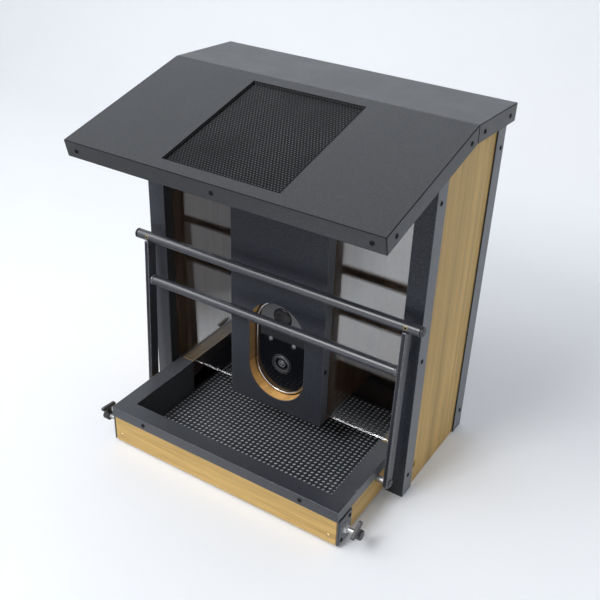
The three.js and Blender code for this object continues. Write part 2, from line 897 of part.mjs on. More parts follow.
function floorHoleCut(x, y) {
  const half = floorHole / 2;
  return block([x - half, x + half], [y - half, y + half], [floorTop - overrun, floorTop + overrun]);
}

function cornerPlate(side) {
  const inner = side * (trayBoardX + seat);
  const outer = side * plateX;
  const edge = side * (plateX - plateChamfer);
  const points = [
    [inner, trayBoardFront],
    [edge, trayBoardFront],
    [outer, trayBoardFront + plateChamfer],
    [outer, plateRear - plateChamfer],
    [edge, plateRear],
    [inner, plateRear],
  ];
  const plate = extrude(outline(points), plateTop - trayBottom).translate(0, 0, trayBottom);
  return join(cut(plate, wingHole(side)), ...screwHeads(plateScrewPlaces(side), sideways(side)));
}

// A bolt with a cross bar above its hub, turned about the bolt's axis
function wingBolt(side, turn) {
  const shankInner = trayBoardX - wingShankDepth;
  const hubOuter = hubInner + wingHubLength;
  const shank = rodX(wingShankRadius, [side * shankInner, side * (hubInner + seat)], 0, 0);
  const hub = rodX(wingHubRadius, [side * hubInner, side * hubOuter], 0, 0);
  const end = wingWidth / 2;
  const reach = wingSpan / 2 - end;
  const half = wingStemWidth / 2;
  const shape = new THREE.Shape();
  shape.absarc(-reach, wingRise, end, Math.PI / 2, 1.5 * Math.PI, false);
  shape.lineTo(-half, wingRise - end);
  shape.lineTo(-half, 0);
  shape.lineTo(half, 0);
  shape.lineTo(half, wingRise - end);
  shape.absarc(reach, wingRise, end, -Math.PI / 2, Math.PI / 2, false);
  const points = shape.getPoints(arcSteps).map((point) => [point.x, point.y]);
  const middle = (hubInner + hubOuter) / 2;
  const span = [side * (middle - wingThick / 2), side * (middle + wingThick / 2)];
  const handle = alongX(points, span).rotateX(turn);
  return join(shank, hub, handle);
}

// Perch: its pieces are drawn about the pivots' axis, with the arms upright
function perchArm(side) {
  const half = armWidth / 2;
  const top = upperBarReach - barRadius + armSaddle;
  const shape = new THREE.Shape();
  shape.absarc(0, 0, half, Math.PI, 2 * Math.PI, false);
  shape.lineTo(half, top);
  shape.lineTo(-half, top);
  const points = shape.getPoints(arcSteps).map((point) => [point.x, point.y]);
  const bar = alongX(points, [side * armInner, side * armOuter]);
  const saddle = rodX(barRadius + seat, [-bodyWidth, bodyWidth], 0, upperBarReach);
  return cut(bar, saddle, rodX(pivotRadius + seat, [-bodyWidth, bodyWidth], 0, 0));
}

function tube(length) {
  const half = length / 2;
  const points = [
    [barBoreRadius, -half],
    [barRadius, -half],
    [barRadius, half],
    [barBoreRadius, half],
    [barBoreRadius, -half],
  ];
  const profile = points.map(([r, h]) => new THREE.Vector2(r, h));
  return new THREE.LatheGeometry(profile, roundSides).rotateZ(Math.PI / 2);
}

function endCap(side) {
  const inner = upperBarLength / 2 - capThick;
  const plugSpan = [side * (inner - capPlugLength), side * (inner + seat)];
  const plug = rodX(barBoreRadius - seat, plugSpan, 0, 0, screwSides);
  const rounding = capThick / 2;
  const dome = [
    [0, 0],
    [barRadius, 0],
    [barRadius, capThick - rounding],
    [barRadius - rounding, capThick],
    [0, capThick],
  ];
  const profile = dome.map(([r, h]) => new THREE.Vector2(r, h));
  const head = new THREE.LatheGeometry(profile, roundSides).rotateZ((-side * Math.PI) / 2);
  return join(head.translate(side * inner, 0, 0), plug);
}

function pivotBolt(side) {
  const inner = trayBoardX - pivotAnchor;
  const head = armOuter + seat;
  const shank = rodX(pivotRadius, [side * inner, side * (head + seat)], -pivotSetout, pivotHeight);
  const capSpan = [side * head, side * (head + pivotHeadThick)];
  const cap = rodX(pivotHeadRadius, capSpan, -pivotSetout, pivotHeight);
  return join(shank, cap);
}

function pivotSpacer(side) {
  const span = [side * (trayBoardX + seat), side * (armInner - seat)];
  const collar = rodX(spacerRadius, span, -pivotSetout, pivotHeight);
  return cut(collar, rodX(pivotRadius + seat, [-bodyWidth, bodyWidth], -pivotSetout, pivotHeight));
}

// Assembly
const sides = [['left', -1], ['right', 1]];

function piece(name, geometry, material) {
  const mesh = new THREE.Mesh(geometry, material);
  mesh.name = name;
  return mesh;
}

function assembleHousing() {
  const housing = new THREE.Group();
  for (const [name, side] of sides) {
    housing.add(piece(`side_panel_${name}`, sidePanel(side), finishes.cedar()));
    housing.add(piece(`corner_post_front_${name}`, cornerPost(side, true), finishes.blackSteel()));
    housing.add(piece(`corner_post_rear_${name}`, cornerPost(side, false), finishes.blackSteel()));
    housing.add(piece(`tray_runner_${name}`, trayRunner(side), finishes.zinc()));
    housing.add(piece(`window_${name}`, windowPane(side), finishes.acrylic()));
    housing.add(piece(`bay_wall_${name}`, bayWall(side), finishes.innerWood()));
    housing.add(piece(`hinge_body_leaf_${name}`, bodyLeaf(side * hingeX), finishes.zinc()));
    housing.add(piece(`hinge_pin_${name}`, hingePin(side * hingeX), finishes.zinc()));
  }
  housing.add(piece('back_panel', backPanel(), finishes.innerWood()));
  housing.add(piece('bay_floor', bayFloor(), finishes.innerWood()));
  housing.add(piece('column_cover', columnCover(), finishes.blackSteel()));
  housing.add(piece('column_core', columnCore(), finishes.cedar()));
  return housing;
}

function assembleCamera() {
  const camera = new THREE.Group();
  camera.add(piece('camera_housing', cameraHousing(), finishes.matteBlack()));
  camera.add(piece('camera_ring', cameraRing(), finishes.chrome()));
  camera.add(piece('camera_face', cameraFace(), finishes.glossBlack()));
  camera.add(piece('lens_barrel', lensBarrel(), finishes.matteBlack()));
  camera.add(piece('lens_glass', lensGlass(), finishes.glossBlack()));
  camera.add(piece('motion_sensor_window', sensorWindow(), finishes.glossBlack()));
  camera.add(piece('camera_board', cameraBoard(), finishes.green()));
  camera.add(piece('battery_pack', batteryPack(), finishes.matteBlack()));
  camera.add(piece('power_button', powerButton(), finishes.matteBlack()));
  for (const [name, side] of sides) {
    camera.add(piece(`infrared_led_${name}`, infraredLed(side), finishes.led()));
  }
  return camera;
}

function assembleRoof() {
  const roof = new THREE.Group();
  roof.add(piece('roof_front_sheet', frontSheet(), finishes.blackSteel()));
  roof.add(piece('roof_rear_sheet', rearSheet(), finishes.blackSteel()));
  roof.add(piece('roof_front_deck', frontDeck(), finishes.innerWood()));
  roof.add(piece('roof_rear_deck', rearDeck(), finishes.innerWood()));
  roof.add(piece('solar_panel', solarPanel(), finishes.solar()));
  roof.add(piece('solar_junction_box', junctionBox(), finishes.matteBlack()));
  for (const [name, side] of sides) {
    roof.add(piece(`hinge_roof_leaf_${name}`, roofLeaf(side * hingeX), finishes.zinc()));
  }
  return roof;
}

function assembleTray() {
  const tray = new THREE.Group();
  tray.add(piece('tray_front_board', trayFrontBoard(), finishes.cedar()));
  tray.add(piece('tray_back_board', trayBackBoard(), finishes.cedar()));
  tray.add(piece('tray_rim', trayRim(), finishes.blackSteel()));
  tray.add(piece('tray_floor', trayFloor(), finishes.blackSteel()));
  for (const [name, side] of sides) {
    tray.add(piece(`tray_side_board_${name}`, traySideBoard(side), finishes.cedar()));
    tray.add(piece(`tray_corner_plate_${name}`, cornerPlate(side), finishes.blackSteel()));
    tray.add(piece(`perch_pivot_bolt_${name}`, pivotBolt(side), finishes.zinc()));
    tray.add(piece(`perch_spacer_${name}`, pivotSpacer(side), finishes.zinc()));
    const turn = THREE.MathUtils.degToRad(wingTurns[name]);
    const bolt = piece(`wing_bolt_${name}`, wingBolt(side, turn), finishes.matteBlack());
    bolt.position.set(0, -wingSetout, wingHeight);
    tray.add(bolt);
  }
  return tray;
}

function assemblePerch() {
  const perch = new THREE.Group();
  perch.position.set(0, -pivotSetout, pivotHeight);
  perch.rotation.x = -perchLean;
  for (const [name, side] of sides) {
    perch.add(piece(`perch_arm_${name}`, perchArm(side), finishes.perchSteel()));
    const cap = piece(`perch_end_cap_${name}`, endCap(side), finishes.matteBlack());
    cap.position.z = upperBarReach;
    perch.add(cap);
  }
  const upperTube = tube(upperBarLength - 2 * (capThick + seat));
  const upperBar = piece('perch_bar_upper', upperTube, finishes.perchSteel());
  upperBar.position.z = upperBarReach;
  const lowerBar = piece('perch_bar_lower', tube(2 * (armInner - seat)), finishes.perchSteel());
  lowerBar.position.z = lowerBarReach;
  perch.add(upperBar, lowerBar);
  return perch;
}

// The origin is on the floor, midway between the roof's front edge and the hinges' rear
const [hingeY] = hingeAxis();
const feeder = new THREE.Group();
feeder.position.y = (roofFrontOverhang - hingeY - knuckleRadius) / 2;
feeder.add(assembleHousing(), assembleCamera(), assembleRoof(), assembleTray(), assemblePerch());

const root = new THREE.Group();
root.add(feeder);

export default root;
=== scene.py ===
import json
import math

import bmesh
import bpy
from mathutils import Matrix, Vector


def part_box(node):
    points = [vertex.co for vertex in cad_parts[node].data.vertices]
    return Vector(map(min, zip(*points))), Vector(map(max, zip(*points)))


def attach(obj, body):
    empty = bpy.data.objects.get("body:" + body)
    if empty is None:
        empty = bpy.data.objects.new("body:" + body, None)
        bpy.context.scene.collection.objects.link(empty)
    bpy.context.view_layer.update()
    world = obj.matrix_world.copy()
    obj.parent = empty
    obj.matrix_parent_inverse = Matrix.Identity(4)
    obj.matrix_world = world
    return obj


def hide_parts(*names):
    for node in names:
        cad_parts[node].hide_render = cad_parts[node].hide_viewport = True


MM = 0.001
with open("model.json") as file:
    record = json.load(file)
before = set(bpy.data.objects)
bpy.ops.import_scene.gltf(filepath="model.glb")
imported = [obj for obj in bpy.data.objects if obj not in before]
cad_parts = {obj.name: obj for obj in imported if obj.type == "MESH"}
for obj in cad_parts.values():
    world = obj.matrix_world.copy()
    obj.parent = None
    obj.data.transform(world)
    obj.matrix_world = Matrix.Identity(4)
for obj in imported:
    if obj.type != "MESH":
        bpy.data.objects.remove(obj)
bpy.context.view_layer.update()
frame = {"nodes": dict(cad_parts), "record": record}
body_of = {
    node: body
    for body, nodes in frame["record"]["behaviour"]["bodies"].items()
    for node in nodes
}
face_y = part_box("corner_post_front_right")[0].y / MM
SIDES = {"left": -1, "right": 1}

# The roof's slopes, from its ridge
RIDGE_Y = 58.0
RIDGE_Z = 371.0
FRONT_PITCH = math.radians(13.75)
REAR_PITCH = math.radians(3.0)
FRONT_RUN = 162.66
REAR_RUN = 89.12
ROOF_X = 160.0
BODY_TOP_DEPTH = 16.8
SOLAR_RUNS = (12.3, 148.7)
SOLAR_DEPTHS = (1.6, 4.6)


def at(x, y, z):
    """A point given in millimetres, with y from the body's front face, in the frame's metres."""
    return Vector((x, y + face_y, z)) * MM


def front_slope(run, depth):
    """The y and z of a point on the front slope, a run from the ridge and a depth under the sheet."""
    cos, sin = math.cos(FRONT_PITCH), math.sin(FRONT_PITCH)
    return RIDGE_Y - run * cos + depth * sin, RIDGE_Z - run * sin - depth * cos


def rear_slope(run, depth):
    """The y and z of a point on the rear slope, as front_slope gives them in front."""
    cos, sin = math.cos(REAR_PITCH), math.sin(REAR_PITCH)
    return RIDGE_Y + run * cos - depth * sin, RIDGE_Z - run * sin - depth * cos


def roof_line(y):
    """The height of the body's sides under the roof at a distance from the body's front face."""
    front = RIDGE_Z - (RIDGE_Y - y) * math.tan(FRONT_PITCH) - BODY_TOP_DEPTH / math.cos(FRONT_PITCH)
    rear = RIDGE_Z - (y - RIDGE_Y) * math.tan(REAR_PITCH) - BODY_TOP_DEPTH / math.cos(REAR_PITCH)
    return min(front, rear)


# Camera, solved from the straight edges of the object in the photograph
CAMERA_PLACE = (407.35, -620.84, 625.16)
CAMERA_RIGHT = (0.84269, 0.53747, 0.03165)
CAMERA_UP = (-0.30148, 0.42233, 0.85484)
CAMERA_BACK = (0.44608, -0.7299, 0.51793)
CAMERA_LENS = 53.73
CAMERA_SENSOR = 36.0
CAMERA_NEAR = 0.01
CAMERA_FAR = 50.0


def make_camera():
    data = bpy.data.cameras.new("camera")
    data.lens = CAMERA_LENS
    data.sensor_width = CAMERA_SENSOR
    data.clip_start = CAMERA_NEAR
    data.clip_end = CAMERA_FAR
    camera = bpy.data.objects.new("camera", data)
    bpy.context.scene.collection.objects.link(camera)
    turn = Matrix((CAMERA_RIGHT, CAMERA_UP, CAMERA_BACK)).transposed()
    camera.matrix_world = Matrix.Translation(at(*CAMERA_PLACE)) @ turn.to_4x4()
    bpy.context.scene.camera = camera


# Materials. A finished look is filed here under its name.
looks = {}
MIX_SHARE, MIX_FIRST, MIX_SECOND, MIX_RESULT = 0, 6, 7, 2


def tinted(colour, factor):
    """A colour made lighter or darker by a factor."""
    return tuple(factor * part for part in colour)


class Look:
    """A procedural material being wired up, with the shader that it ends in."""

    def __init__(self, name, **constants):
        self.name = name
        self.material = bpy.data.materials.new(name)
        self.material.use_nodes = True
        self.tree = self.material.node_tree
        self.shader = self.tree.nodes["Principled BSDF"]
        self.feed(self.shader, **constants)

    def node(self, kind, **settings):
        made = self.tree.nodes.new(kind)
        for name, value in settings.items():
            setattr(made, name, value)
        return made

    def put(self, value, socket):
        """Links a socket to the output given, or sets it to the value given."""
        if isinstance(value, bpy.types.NodeSocket):
            self.tree.links.new(value, socket)
        else:
            socket.default_value = value

    def feed(self, made, **inputs):
        """Puts a node's inputs by name, and gives the node back."""
        for name, value in inputs.items():
            self.put(value, made.inputs[name.replace("_", " ")])
        return made

    def place(self, stretch=(1.0, 1.0, 1.0)):
        """Object coordinates, scaled by stretch."""
        source = self.node("ShaderNodeTexCoord").outputs["Object"]
        mapping = self.feed(self.node("ShaderNodeMapping"), Vector=source, Scale=stretch)
        return mapping.outputs["Vector"]

    def split_place(self):
        """Object coordinates as three numbers."""
        parts = self.feed(self.node("ShaderNodeSeparateXYZ"), Vector=self.place())
        return parts.outputs

    def noise(self, scale, stretch=(1.0, 1.0, 1.0), detail=4.0, roughness=0.5, distortion=0.0):
        made = self.feed(
            self.node("ShaderNodeTexNoise"),
            Vector=self.place(stretch),
            Scale=scale,
            Detail=detail,
            Roughness=roughness,
            Distortion=distortion,
        )
        return made.outputs["Fac"]

    def spread(self, value, low, high, start=0.3, end=0.7):
        """Maps a value between start and end to the span from low to high."""
        span = {"From_Min": start, "From_Max": end, "To_Min": low, "To_Max": high}
        made = self.feed(self.node("ShaderNodeMapRange"), Value=value, **span)
        return made.outputs["Result"]

    def share(self, value, start=0.3, end=0.7):
        """Maps a value between start and end to the span from 0 to 1."""
        return self.spread(value, 0.0, 1.0, start, end)

    def ramp(self, value, *stops):
        """Colours a value by stops of position and colour, in rising order."""
        made = self.feed(self.node("ShaderNodeValToRGB"), Fac=value)
        points = made.color_ramp.elements
        for position, colour in stops[1:-1]:
            points.new(position)
        for point, (position, colour) in zip(points, stops):
            point.position = position
            point.color = (*colour, 1.0)
        return made.outputs["Color"]

    def mix(self, share, first, second, blend="MIX"):
        made = self.node("ShaderNodeMix", data_type="RGBA", blend_type=blend)
        self.put(share, made.inputs[MIX_SHARE])
        for colour, index in ((first, MIX_FIRST), (second, MIX_SECOND)):
            self.put((*colour, 1.0) if isinstance(colour, tuple) else colour, made.inputs[index])
        return made.outputs[MIX_RESULT]

    def maths(self, operation, first, second=0.0):
        made = self.node("ShaderNodeMath", operation=operation)
        self.put(first, made.inputs[0])
        self.put(second, made.inputs[1])
        return made.outputs["Value"]

    def mean(self, first, second, share):
        """The mean of two values, with the share that the first one has in it."""
        return self.maths(
            "ADD", self.maths("MULTIPLY", first, share), self.maths("MULTIPLY", second, 1 - share)
        )

    def bump(self, height, distance):
        """Relief from a value, with its depth in millimetres."""
        made = self.feed(self.node("ShaderNodeBump"), Height=height, Distance=distance * MM)
        return made.outputs["Normal"]

    def finish(self, colour, roughness, normal):
        """Feeds the shader and files the material under its name."""
        self.feed(self.shader, Base_Color=colour, Roughness=roughness, Normal=normal)
        looks[self.name] = self.material
        return self.material


AXES = {"x": 0, "y": 1, "z": 2}
GRAIN_STRETCH = 0.035
PORE_STRETCH = 0.5
BOARD_WIDTH = 24.0
PLY_WIDTH = 3.0
BOARD_TONES = ((0.84, 0.8, 0.76), (1.05, 1.03, 1.0))
GRAIN_SPAN = (0.36, 0.66)
GRAIN_TURN = 0.661
PORE_TONE = 0.55


def wood(name, grain, across, tones, board=BOARD_WIDTH):
    """Sawn boards whose grain runs along one axis, laid side by side along another.

    Tones are light and dark wood. The strongest figure turns back to the tone between them.
    """
    look = Look(name)
    light, dark = tones
    stretch = [1.0, 1.0, 1.0]
    stretch[AXES[grain]] = GRAIN_STRETCH
    broad = look.noise(scale=95.0, stretch=stretch, detail=3.0, distortion=1.6)
    fine = look.noise(scale=750.0, stretch=stretch, detail=6.0, roughness=0.65, distortion=0.4)
    pores = look.noise(scale=2400.0, stretch=[PORE_STRETCH * part for part in stretch], detail=2.0)
    index = look.maths("FLOOR", look.maths("DIVIDE", look.split_place()[AXES[across]], board * MM))
    tone = look.feed(look.node("ShaderNodeTexWhiteNoise", noise_dimensions="1D"), W=index)
    middle = tuple(0.5 * (a + b) for a, b in zip(light, dark))
    start, end = GRAIN_SPAN
    grained = look.ramp(look.mean(broad, fine, 0.55), (start, dark), (end, light), (GRAIN_TURN, middle))
    boards = look.ramp(tone.outputs["Value"], (0.0, BOARD_TONES[0]), (1.0, BOARD_TONES[1]))
    toned = look.mix(0.8, grained, boards, "MULTIPLY")
    flecked = look.mix(look.spread(pores, 0.32, 0.0, 0.3, 0.42), toned, tinted(dark, PORE_TONE))
    return look.finish(flecked, look.spread(fine, 0.46, 0.66), look.bump(look.mean(fine, pores, 0.7), 0.25))


# Painted sheen: the pale grey that black paint is lightened towards at glancing angles, and the span of
# facing over which it is painted
PAINTED_SHEEN_TONE = (0.192, 0.2, 0.216)
PAINTED_SHEEN_REACH = (0.28, 0.72)
DUST_TONE = 1.25
SPECK_TONE = 4.0
SPECK_STRENGTH = 0.8


def powder_coat(name, colour, roughness, grain=1500.0, depth=0.06, painted_sheen=0.0, specular=0.5):
    """Sprayed and baked paint: a fine pebbled skin, a little uneven in gloss and dusty in broad patches.

    A painted sheen lightens its colour towards a pale grey where it is seen at a glancing angle; the
    argument after the depth sets how far.
    """
    look = Look(name, Specular_IOR_Level=specular)
    pebble = look.noise(scale=grain, detail=2.0, roughness=0.6)
    patch = look.noise(scale=26.0, detail=4.0, roughness=0.6)
    speck = look.noise(scale=900.0, detail=1.0)
    toned = look.mix(look.share(patch, 0.35, 0.7), colour, tinted(colour, DUST_TONE))
    strength = look.spread(speck, 0.0, SPECK_STRENGTH, 0.5, 0.75)
    specked = look.mix(strength, toned, tinted(colour, SPECK_TONE))
    # Painted sheen: where the surface is seen at a glancing angle, its colour is mixed towards a pale grey
    glance = look.node("ShaderNodeLayerWeight").outputs["Facing"]
    sheen_painted = look.mix(look.spread(glance, 0.0, painted_sheen, *PAINTED_SHEEN_REACH), specked, PAINTED_SHEEN_TONE)
    uneven = look.spread(patch, -0.04, 0.05)
    rough = look.maths("ADD", uneven, look.spread(pebble, roughness, roughness + 0.06))
    return look.finish(sheen_painted, rough, look.bump(pebble, depth))


def plated(name, colour, roughness, brush=(1.0, 1.0, 0.05)):
    """Bright plated or polished metal with fine marks along one way."""
    look = Look(name, Metallic=1.0)
    marks = look.noise(scale=900.0, stretch=brush, detail=4.0, roughness=0.7)
    cloud = look.noise(scale=60.0, detail=3.0)
    toned = look.mix(look.share(cloud), colour, tinted(colour, 0.82))
    return look.finish(toned, look.spread(marks, roughness, roughness * 1.6), look.bump(marks, 0.01))


def moulded(name, colour, roughness, depth, coat=0.0, specular=0.5):
    """Moulded plastic, from a fine matt grain to a wiped gloss."""
    look = Look(name, Coat_Weight=coat, Specular_IOR_Level=specular)
    skin = look.noise(scale=2200.0, detail=3.0)
    smear = look.noise(scale=45.0, stretch=(1.0, 1.0, 0.4), detail=3.0, distortion=0.6)
    toned = look.mix(look.share(smear), colour, tuple(1.3 * part + 0.001 for part in colour))
    return look.finish(toned, look.spread(smear, roughness, roughness * 1.35), look.bump(skin, depth))


def clear_sheet(name, colour, roughness):
    """Clear acrylic with the faint haze and smears of a handled sheet."""
    glass = {"Transmission_Weight": 1.0, "IOR": 1.49, "Specular_IOR_Level": 1.0}
    gloss = {"Coat_Weight": 1.0, "Coat_IOR": 2.0, "Coat_Roughness": 0.01}
    look = Look(name, **glass, **gloss)
    smear = look.noise(scale=35.0, stretch=(1.0, 1.0, 0.5), detail=5.0, distortion=1.0)
    tint = look.mix(look.share(smear), colour, tinted(colour, 0.97))
    return look.finish(tint, look.spread(smear, roughness, roughness + 0.03), look.bump(smear, 0.03))


def frosted(name, colour):
    """The sawn edge of a clear sheet, which gathers light and scatters it."""
    look = Look(name, Transmission_Weight=0.35, IOR=1.49)
    saw = look.noise(scale=900.0, stretch=(0.2, 1.0, 1.0), detail=3.0)
    toned = look.mix(look.share(saw), colour, tinted(colour, 0.8))
    return look.finish(toned, look.spread(saw, 0.6, 0.8), look.bump(saw, 0.01))


# The solar panel's face: dimples in rows that stand between each other, over strips of cells
DIMPLE_SPACING = 3.03
DIMPLE_ROW = 2.7
DIMPLE_HEIGHT = 0.55
WAVE_LOW = -1.5
WAVE_HIGH = 3.0
CELL_WIDTH = 19.5
JOINT_WIDTH = 0.5
BLANK_EDGE = 56.4
BLANK_RUN = 67.0
BLANK_BLUR = 0.2
SOLAR_MIDDLE = 80.5
# Hollow and crown tones of the dimples: the lighter crown tone is a painted highlight
CROWN_DARK = (0.0015, 0.0015, 0.002)
CROWN_HIGHLIGHT_TONE = (0.1, 0.102, 0.112)
CELL_SHADE = (0.004, 0.004, 0.0055)
JOINT_TONE = (0.004, 0.004, 0.005)
BLANK_TONE = (0.002, 0.002, 0.0025)


def cells(name):
    """Dark solar cells under a dimpled laminate, with a painted highlight on the dimples' crowns."""
    look = Look(name, Specular_IOR_Level=0.12)
    x, y = look.split_place()[:2]
    level = (RIDGE_Y + SOLAR_DEPTHS[0] * math.sin(FRONT_PITCH) + face_y) * MM
    run = look.maths("DIVIDE", look.maths("SUBTRACT", level, y), math.cos(FRONT_PITCH))
    across = look.maths("COSINE", look.maths("MULTIPLY", x, 2 * math.pi / (DIMPLE_SPACING * MM)))
    along = look.maths("MULTIPLY", run, math.pi / (DIMPLE_ROW * MM))
    crossed = look.maths("MULTIPLY", look.maths("MULTIPLY", across, 2.0), look.maths("COSINE", along))
    wave = look.maths("ADD", look.maths("COSINE", look.maths("MULTIPLY", along, 2.0)), crossed)
    # Painted highlight: the dimples' crowns are coloured lighter than their hollows
    crown_highlight = look.ramp(look.share(wave, WAVE_LOW, WAVE_HIGH), (0.4, CROWN_DARK), (1.0, CROWN_HIGHLIGHT_TONE))
    cloud = look.spread(look.noise(scale=14.0, detail=3.0), 0.55, 0.0, 0.38, 0.62)
    shaded = look.mix(cloud, crown_highlight, CELL_SHADE)
    off_joint = look.maths("PINGPONG", x, CELL_WIDTH / 2 * MM)
    lined = look.mix(look.spread(off_joint, 0.5, 0.0, 0.0, JOINT_WIDTH * MM), shaded, JOINT_TONE)
    off_side = look.maths("SUBTRACT", look.maths("ABSOLUTE", x), BLANK_EDGE * MM)
    off_run = look.maths("ABSOLUTE", look.maths("SUBTRACT", run, SOLAR_MIDDLE * MM))
    off = look.maths("MAXIMUM", off_side, look.maths("SUBTRACT", off_run, BLANK_RUN * MM))
    edged = look.mix(look.share(off, 0.0, BLANK_BLUR * MM), lined, BLANK_TONE)
    skin = look.noise(scale=2600.0, detail=2.0)
    return look.finish(edged, look.spread(skin, 0.22, 0.3), look.bump(skin, 0.01))


MASK_TONES = ((0.012, 0.09, 0.03), (0.02, 0.16, 0.06))
PAD_TONE = (0.62, 0.58, 0.45)


def board_green(name):
    """A circuit board: solder mask over tracks, with bright pads."""
    look = Look(name)
    track = look.node("ShaderNodeTexVoronoi", distance="MANHATTAN")
    look.feed(track, Vector=look.place(), Scale=420.0)
    line = look.share(track.outputs["Distance"], 0.3, 0.36)
    pads = look.noise(scale=700.0, detail=0.0)
    dotted = look.mix(look.share(pads, 0.74, 0.76), look.mix(line, *MASK_TONES), PAD_TONE)
    return look.finish(dotted, look.spread(pads, 0.3, 0.42), look.bump(line, 0.03))


# Light and dark tones of each wood
CEDAR = ((0.77, 0.535, 0.195), (0.5, 0.315, 0.093))
CORE = ((0.95, 0.6, 0.22), (0.7, 0.37, 0.11))
# The next tones are a darker copy of the core wood: painted shade on the cut-out's upright walls
CORE_SHADED = ((0.5, 0.3, 0.13), (0.34, 0.18, 0.07))
# The next tones are a darker copy of the wood for the feeder's inside faces: painted shade
INNER_SHADED = ((0.27, 0.165, 0.085), (0.17, 0.095, 0.045))
# The next tones darken the wood almost to black: painted deep shade in the tray's well and on the back board
DEEP_SHADE_WOOD = ((0.07, 0.04, 0.026), (0.035, 0.019, 0.013))


def make_woods():
    wood("cedar_z", "z", "y", CEDAR)
    wood("cedar_x", "x", "z", CEDAR)
    wood("cedar_y", "y", "z", CEDAR)
    wood("core", "x", "z", CORE, PLY_WIDTH)
    wood("core_shaded", "y", "z", CORE_SHADED, PLY_WIDTH)
    wood("inner_shaded_z", "z", "y", INNER_SHADED)
    wood("inner_shaded_x", "x", "y", INNER_SHADED)
    wood("back_shaded_z", "z", "x", INNER_SHADED)
    wood("deep_shade_x", "x", "z", DEEP_SHADE_WOOD)
    wood("deep_shade_z", "z", "y", DEEP_SHADE_WOOD)


SMOOTH_COAT = {"grain": 900.0, "depth": 0.02}


def make_paints():
    # Several of these blacks carry a painted sheen, lighter where they are seen at a glancing angle
    powder_coat("black_steel", (0.0115, 0.0135, 0.0195), 0.42, depth=0.1, painted_sheen=0.95, specular=0.38)
    powder_coat("roof_steel", (0.0105, 0.0115, 0.0142), 0.42, depth=0.1, painted_sheen=0.25)
    # Darker coat for the roof sheets' rounded bends: a painted line of shade
    powder_coat("roof_edge_shade", (0.005, 0.005, 0.006), 0.5, specular=0.15)
    powder_coat("punched_steel", (0.0095, 0.011, 0.0155), 0.42, painted_sheen=0.6, specular=0.3)
    # Paler coat for the black sheets' rounded corners: partly rubbed wear, partly a painted highlight
    powder_coat("black_edge_worn_highlight", (0.045, 0.047, 0.056), 0.32, painted_sheen=0.9)
    powder_coat("perch_steel", (0.018, 0.02, 0.027), 0.31, specular=1.0, **SMOOTH_COAT)
    powder_coat("arm_steel", (0.011, 0.012, 0.016), 0.3, painted_sheen=0.5, specular=0.3, **SMOOTH_COAT)
    # Paler, glossier coat for the arms' rounded edges and the weld beads: a painted highlight
    powder_coat("perch_edge_highlight", (0.06, 0.063, 0.073), 0.2, specular=0.8, **SMOOTH_COAT)
    powder_coat("shadow_black", (0.008, 0.008, 0.009), 0.7)
    powder_coat("screw_black", (0.004, 0.004, 0.005), 0.45, specular=0.2)


def make_metals():
    plated("brass", (0.78, 0.6, 0.32), 0.25)
    plated("dull_brass", (0.5, 0.39, 0.19), 0.34)
    plated("zinc", (0.5, 0.5, 0.51), 0.34)
    plated("chrome", (0.82, 0.82, 0.83), 0.14, brush=(1.0, 1.0, 1.0))


def make_plastics():
    clear_sheet("acrylic", (0.96, 0.97, 0.98), 0.01)
    frosted("acrylic_edge", (0.36, 0.37, 0.39))
    moulded("gloss_black", (0.006, 0.0065, 0.009), 0.05, depth=0.002, coat=1.0)
    moulded("dome_black", (0.01, 0.01, 0.012), 0.24, depth=0.01, specular=0.3)
    moulded("lens_glass", (0.004, 0.005, 0.009), 0.03, depth=0.001, coat=1.0)
    moulded("matte_black", (0.022, 0.022, 0.024), 0.5, depth=0.05)
    moulded("wing_black", (0.03, 0.03, 0.033), 0.34, depth=0.03)
    moulded("lens_ring", (0.1, 0.1, 0.108), 0.2, depth=0.004, coat=0.6)
    moulded("lens_core", (0.11, 0.112, 0.12), 0.2, depth=0.004, coat=0.6)
    moulded("led", (0.2, 0.205, 0.225), 0.2, depth=0.004, coat=0.3)
    cells("solar_cells")
    board_green("circuit_board")


# The slot of a piece, by the look that it mainly wears
WORN_BY_SLOT = {
    "cedar": ("cedar_x", "cedar_y", "cedar_z", "core"),
    "inner_wood": ("inner_shaded_x", "inner_shaded_z", "back_shaded_z"),
    "black_steel": ("black_steel", "roof_steel", "punched_steel", "screw_black"),
    "perch_steel": ("perch_steel", "arm_steel", "perch_edge_highlight"),
    "zinc_steel": ("zinc", "brass", "dull_brass"),
    "chrome_trim": ("chrome",),
    "clear_acrylic": ("acrylic",),
    "gloss_black": ("gloss_black", "dome_black", "lens_glass"),
    "matte_black": ("matte_black", "wing_black"),
    "led_lens": ("led",),
    "solar_cells": ("solar_cells",),
    "circuit_board": ("circuit_board",),
}
SLOT_OF_LOOK = {look: slot for slot, worn in WORN_BY_SLOT.items() for look in worn}


# Meshes
SMOOTH = math.radians(33.0)
FINE_WELD = 0.005
CAD_WELD = 0.01
FLAT = math.radians(0.6)
SHARP = math.radians(28.0)
CUT_REACH = 0.001
HEAD_REACH = 2.7
HEAD_STEP = 0.3


def add_piece(name, bm, look_names, body, nodes=(), slot=None):
    """Makes an object from a bmesh, with its looks, its body and the CAD nodes it stands for.

    A slot is worked out from its first look unless another is given, but the piece is not given it.
    """
    slot = slot or SLOT_OF_LOOK[look_names[0]]
    bmesh.ops.recalc_face_normals(bm, faces=bm.faces)
    mesh = bpy.data.meshes.new(name)
    bm.to_mesh(mesh)
    bm.free()
    for look_name in look_names:
        mesh.materials.append(looks[look_name])
    mesh.shade_smooth()
    mesh.set_sharp_from_angle(angle=SMOOTH)
    made = bpy.data.objects.new(name, mesh)
    bpy.context.scene.collection.objects.link(made)
    weighted = made.modifiers.new("normals", "WEIGHTED_NORMAL")
    weighted.keep_sharp = True
    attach(made, body)
    if nodes:
        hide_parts(*nodes)


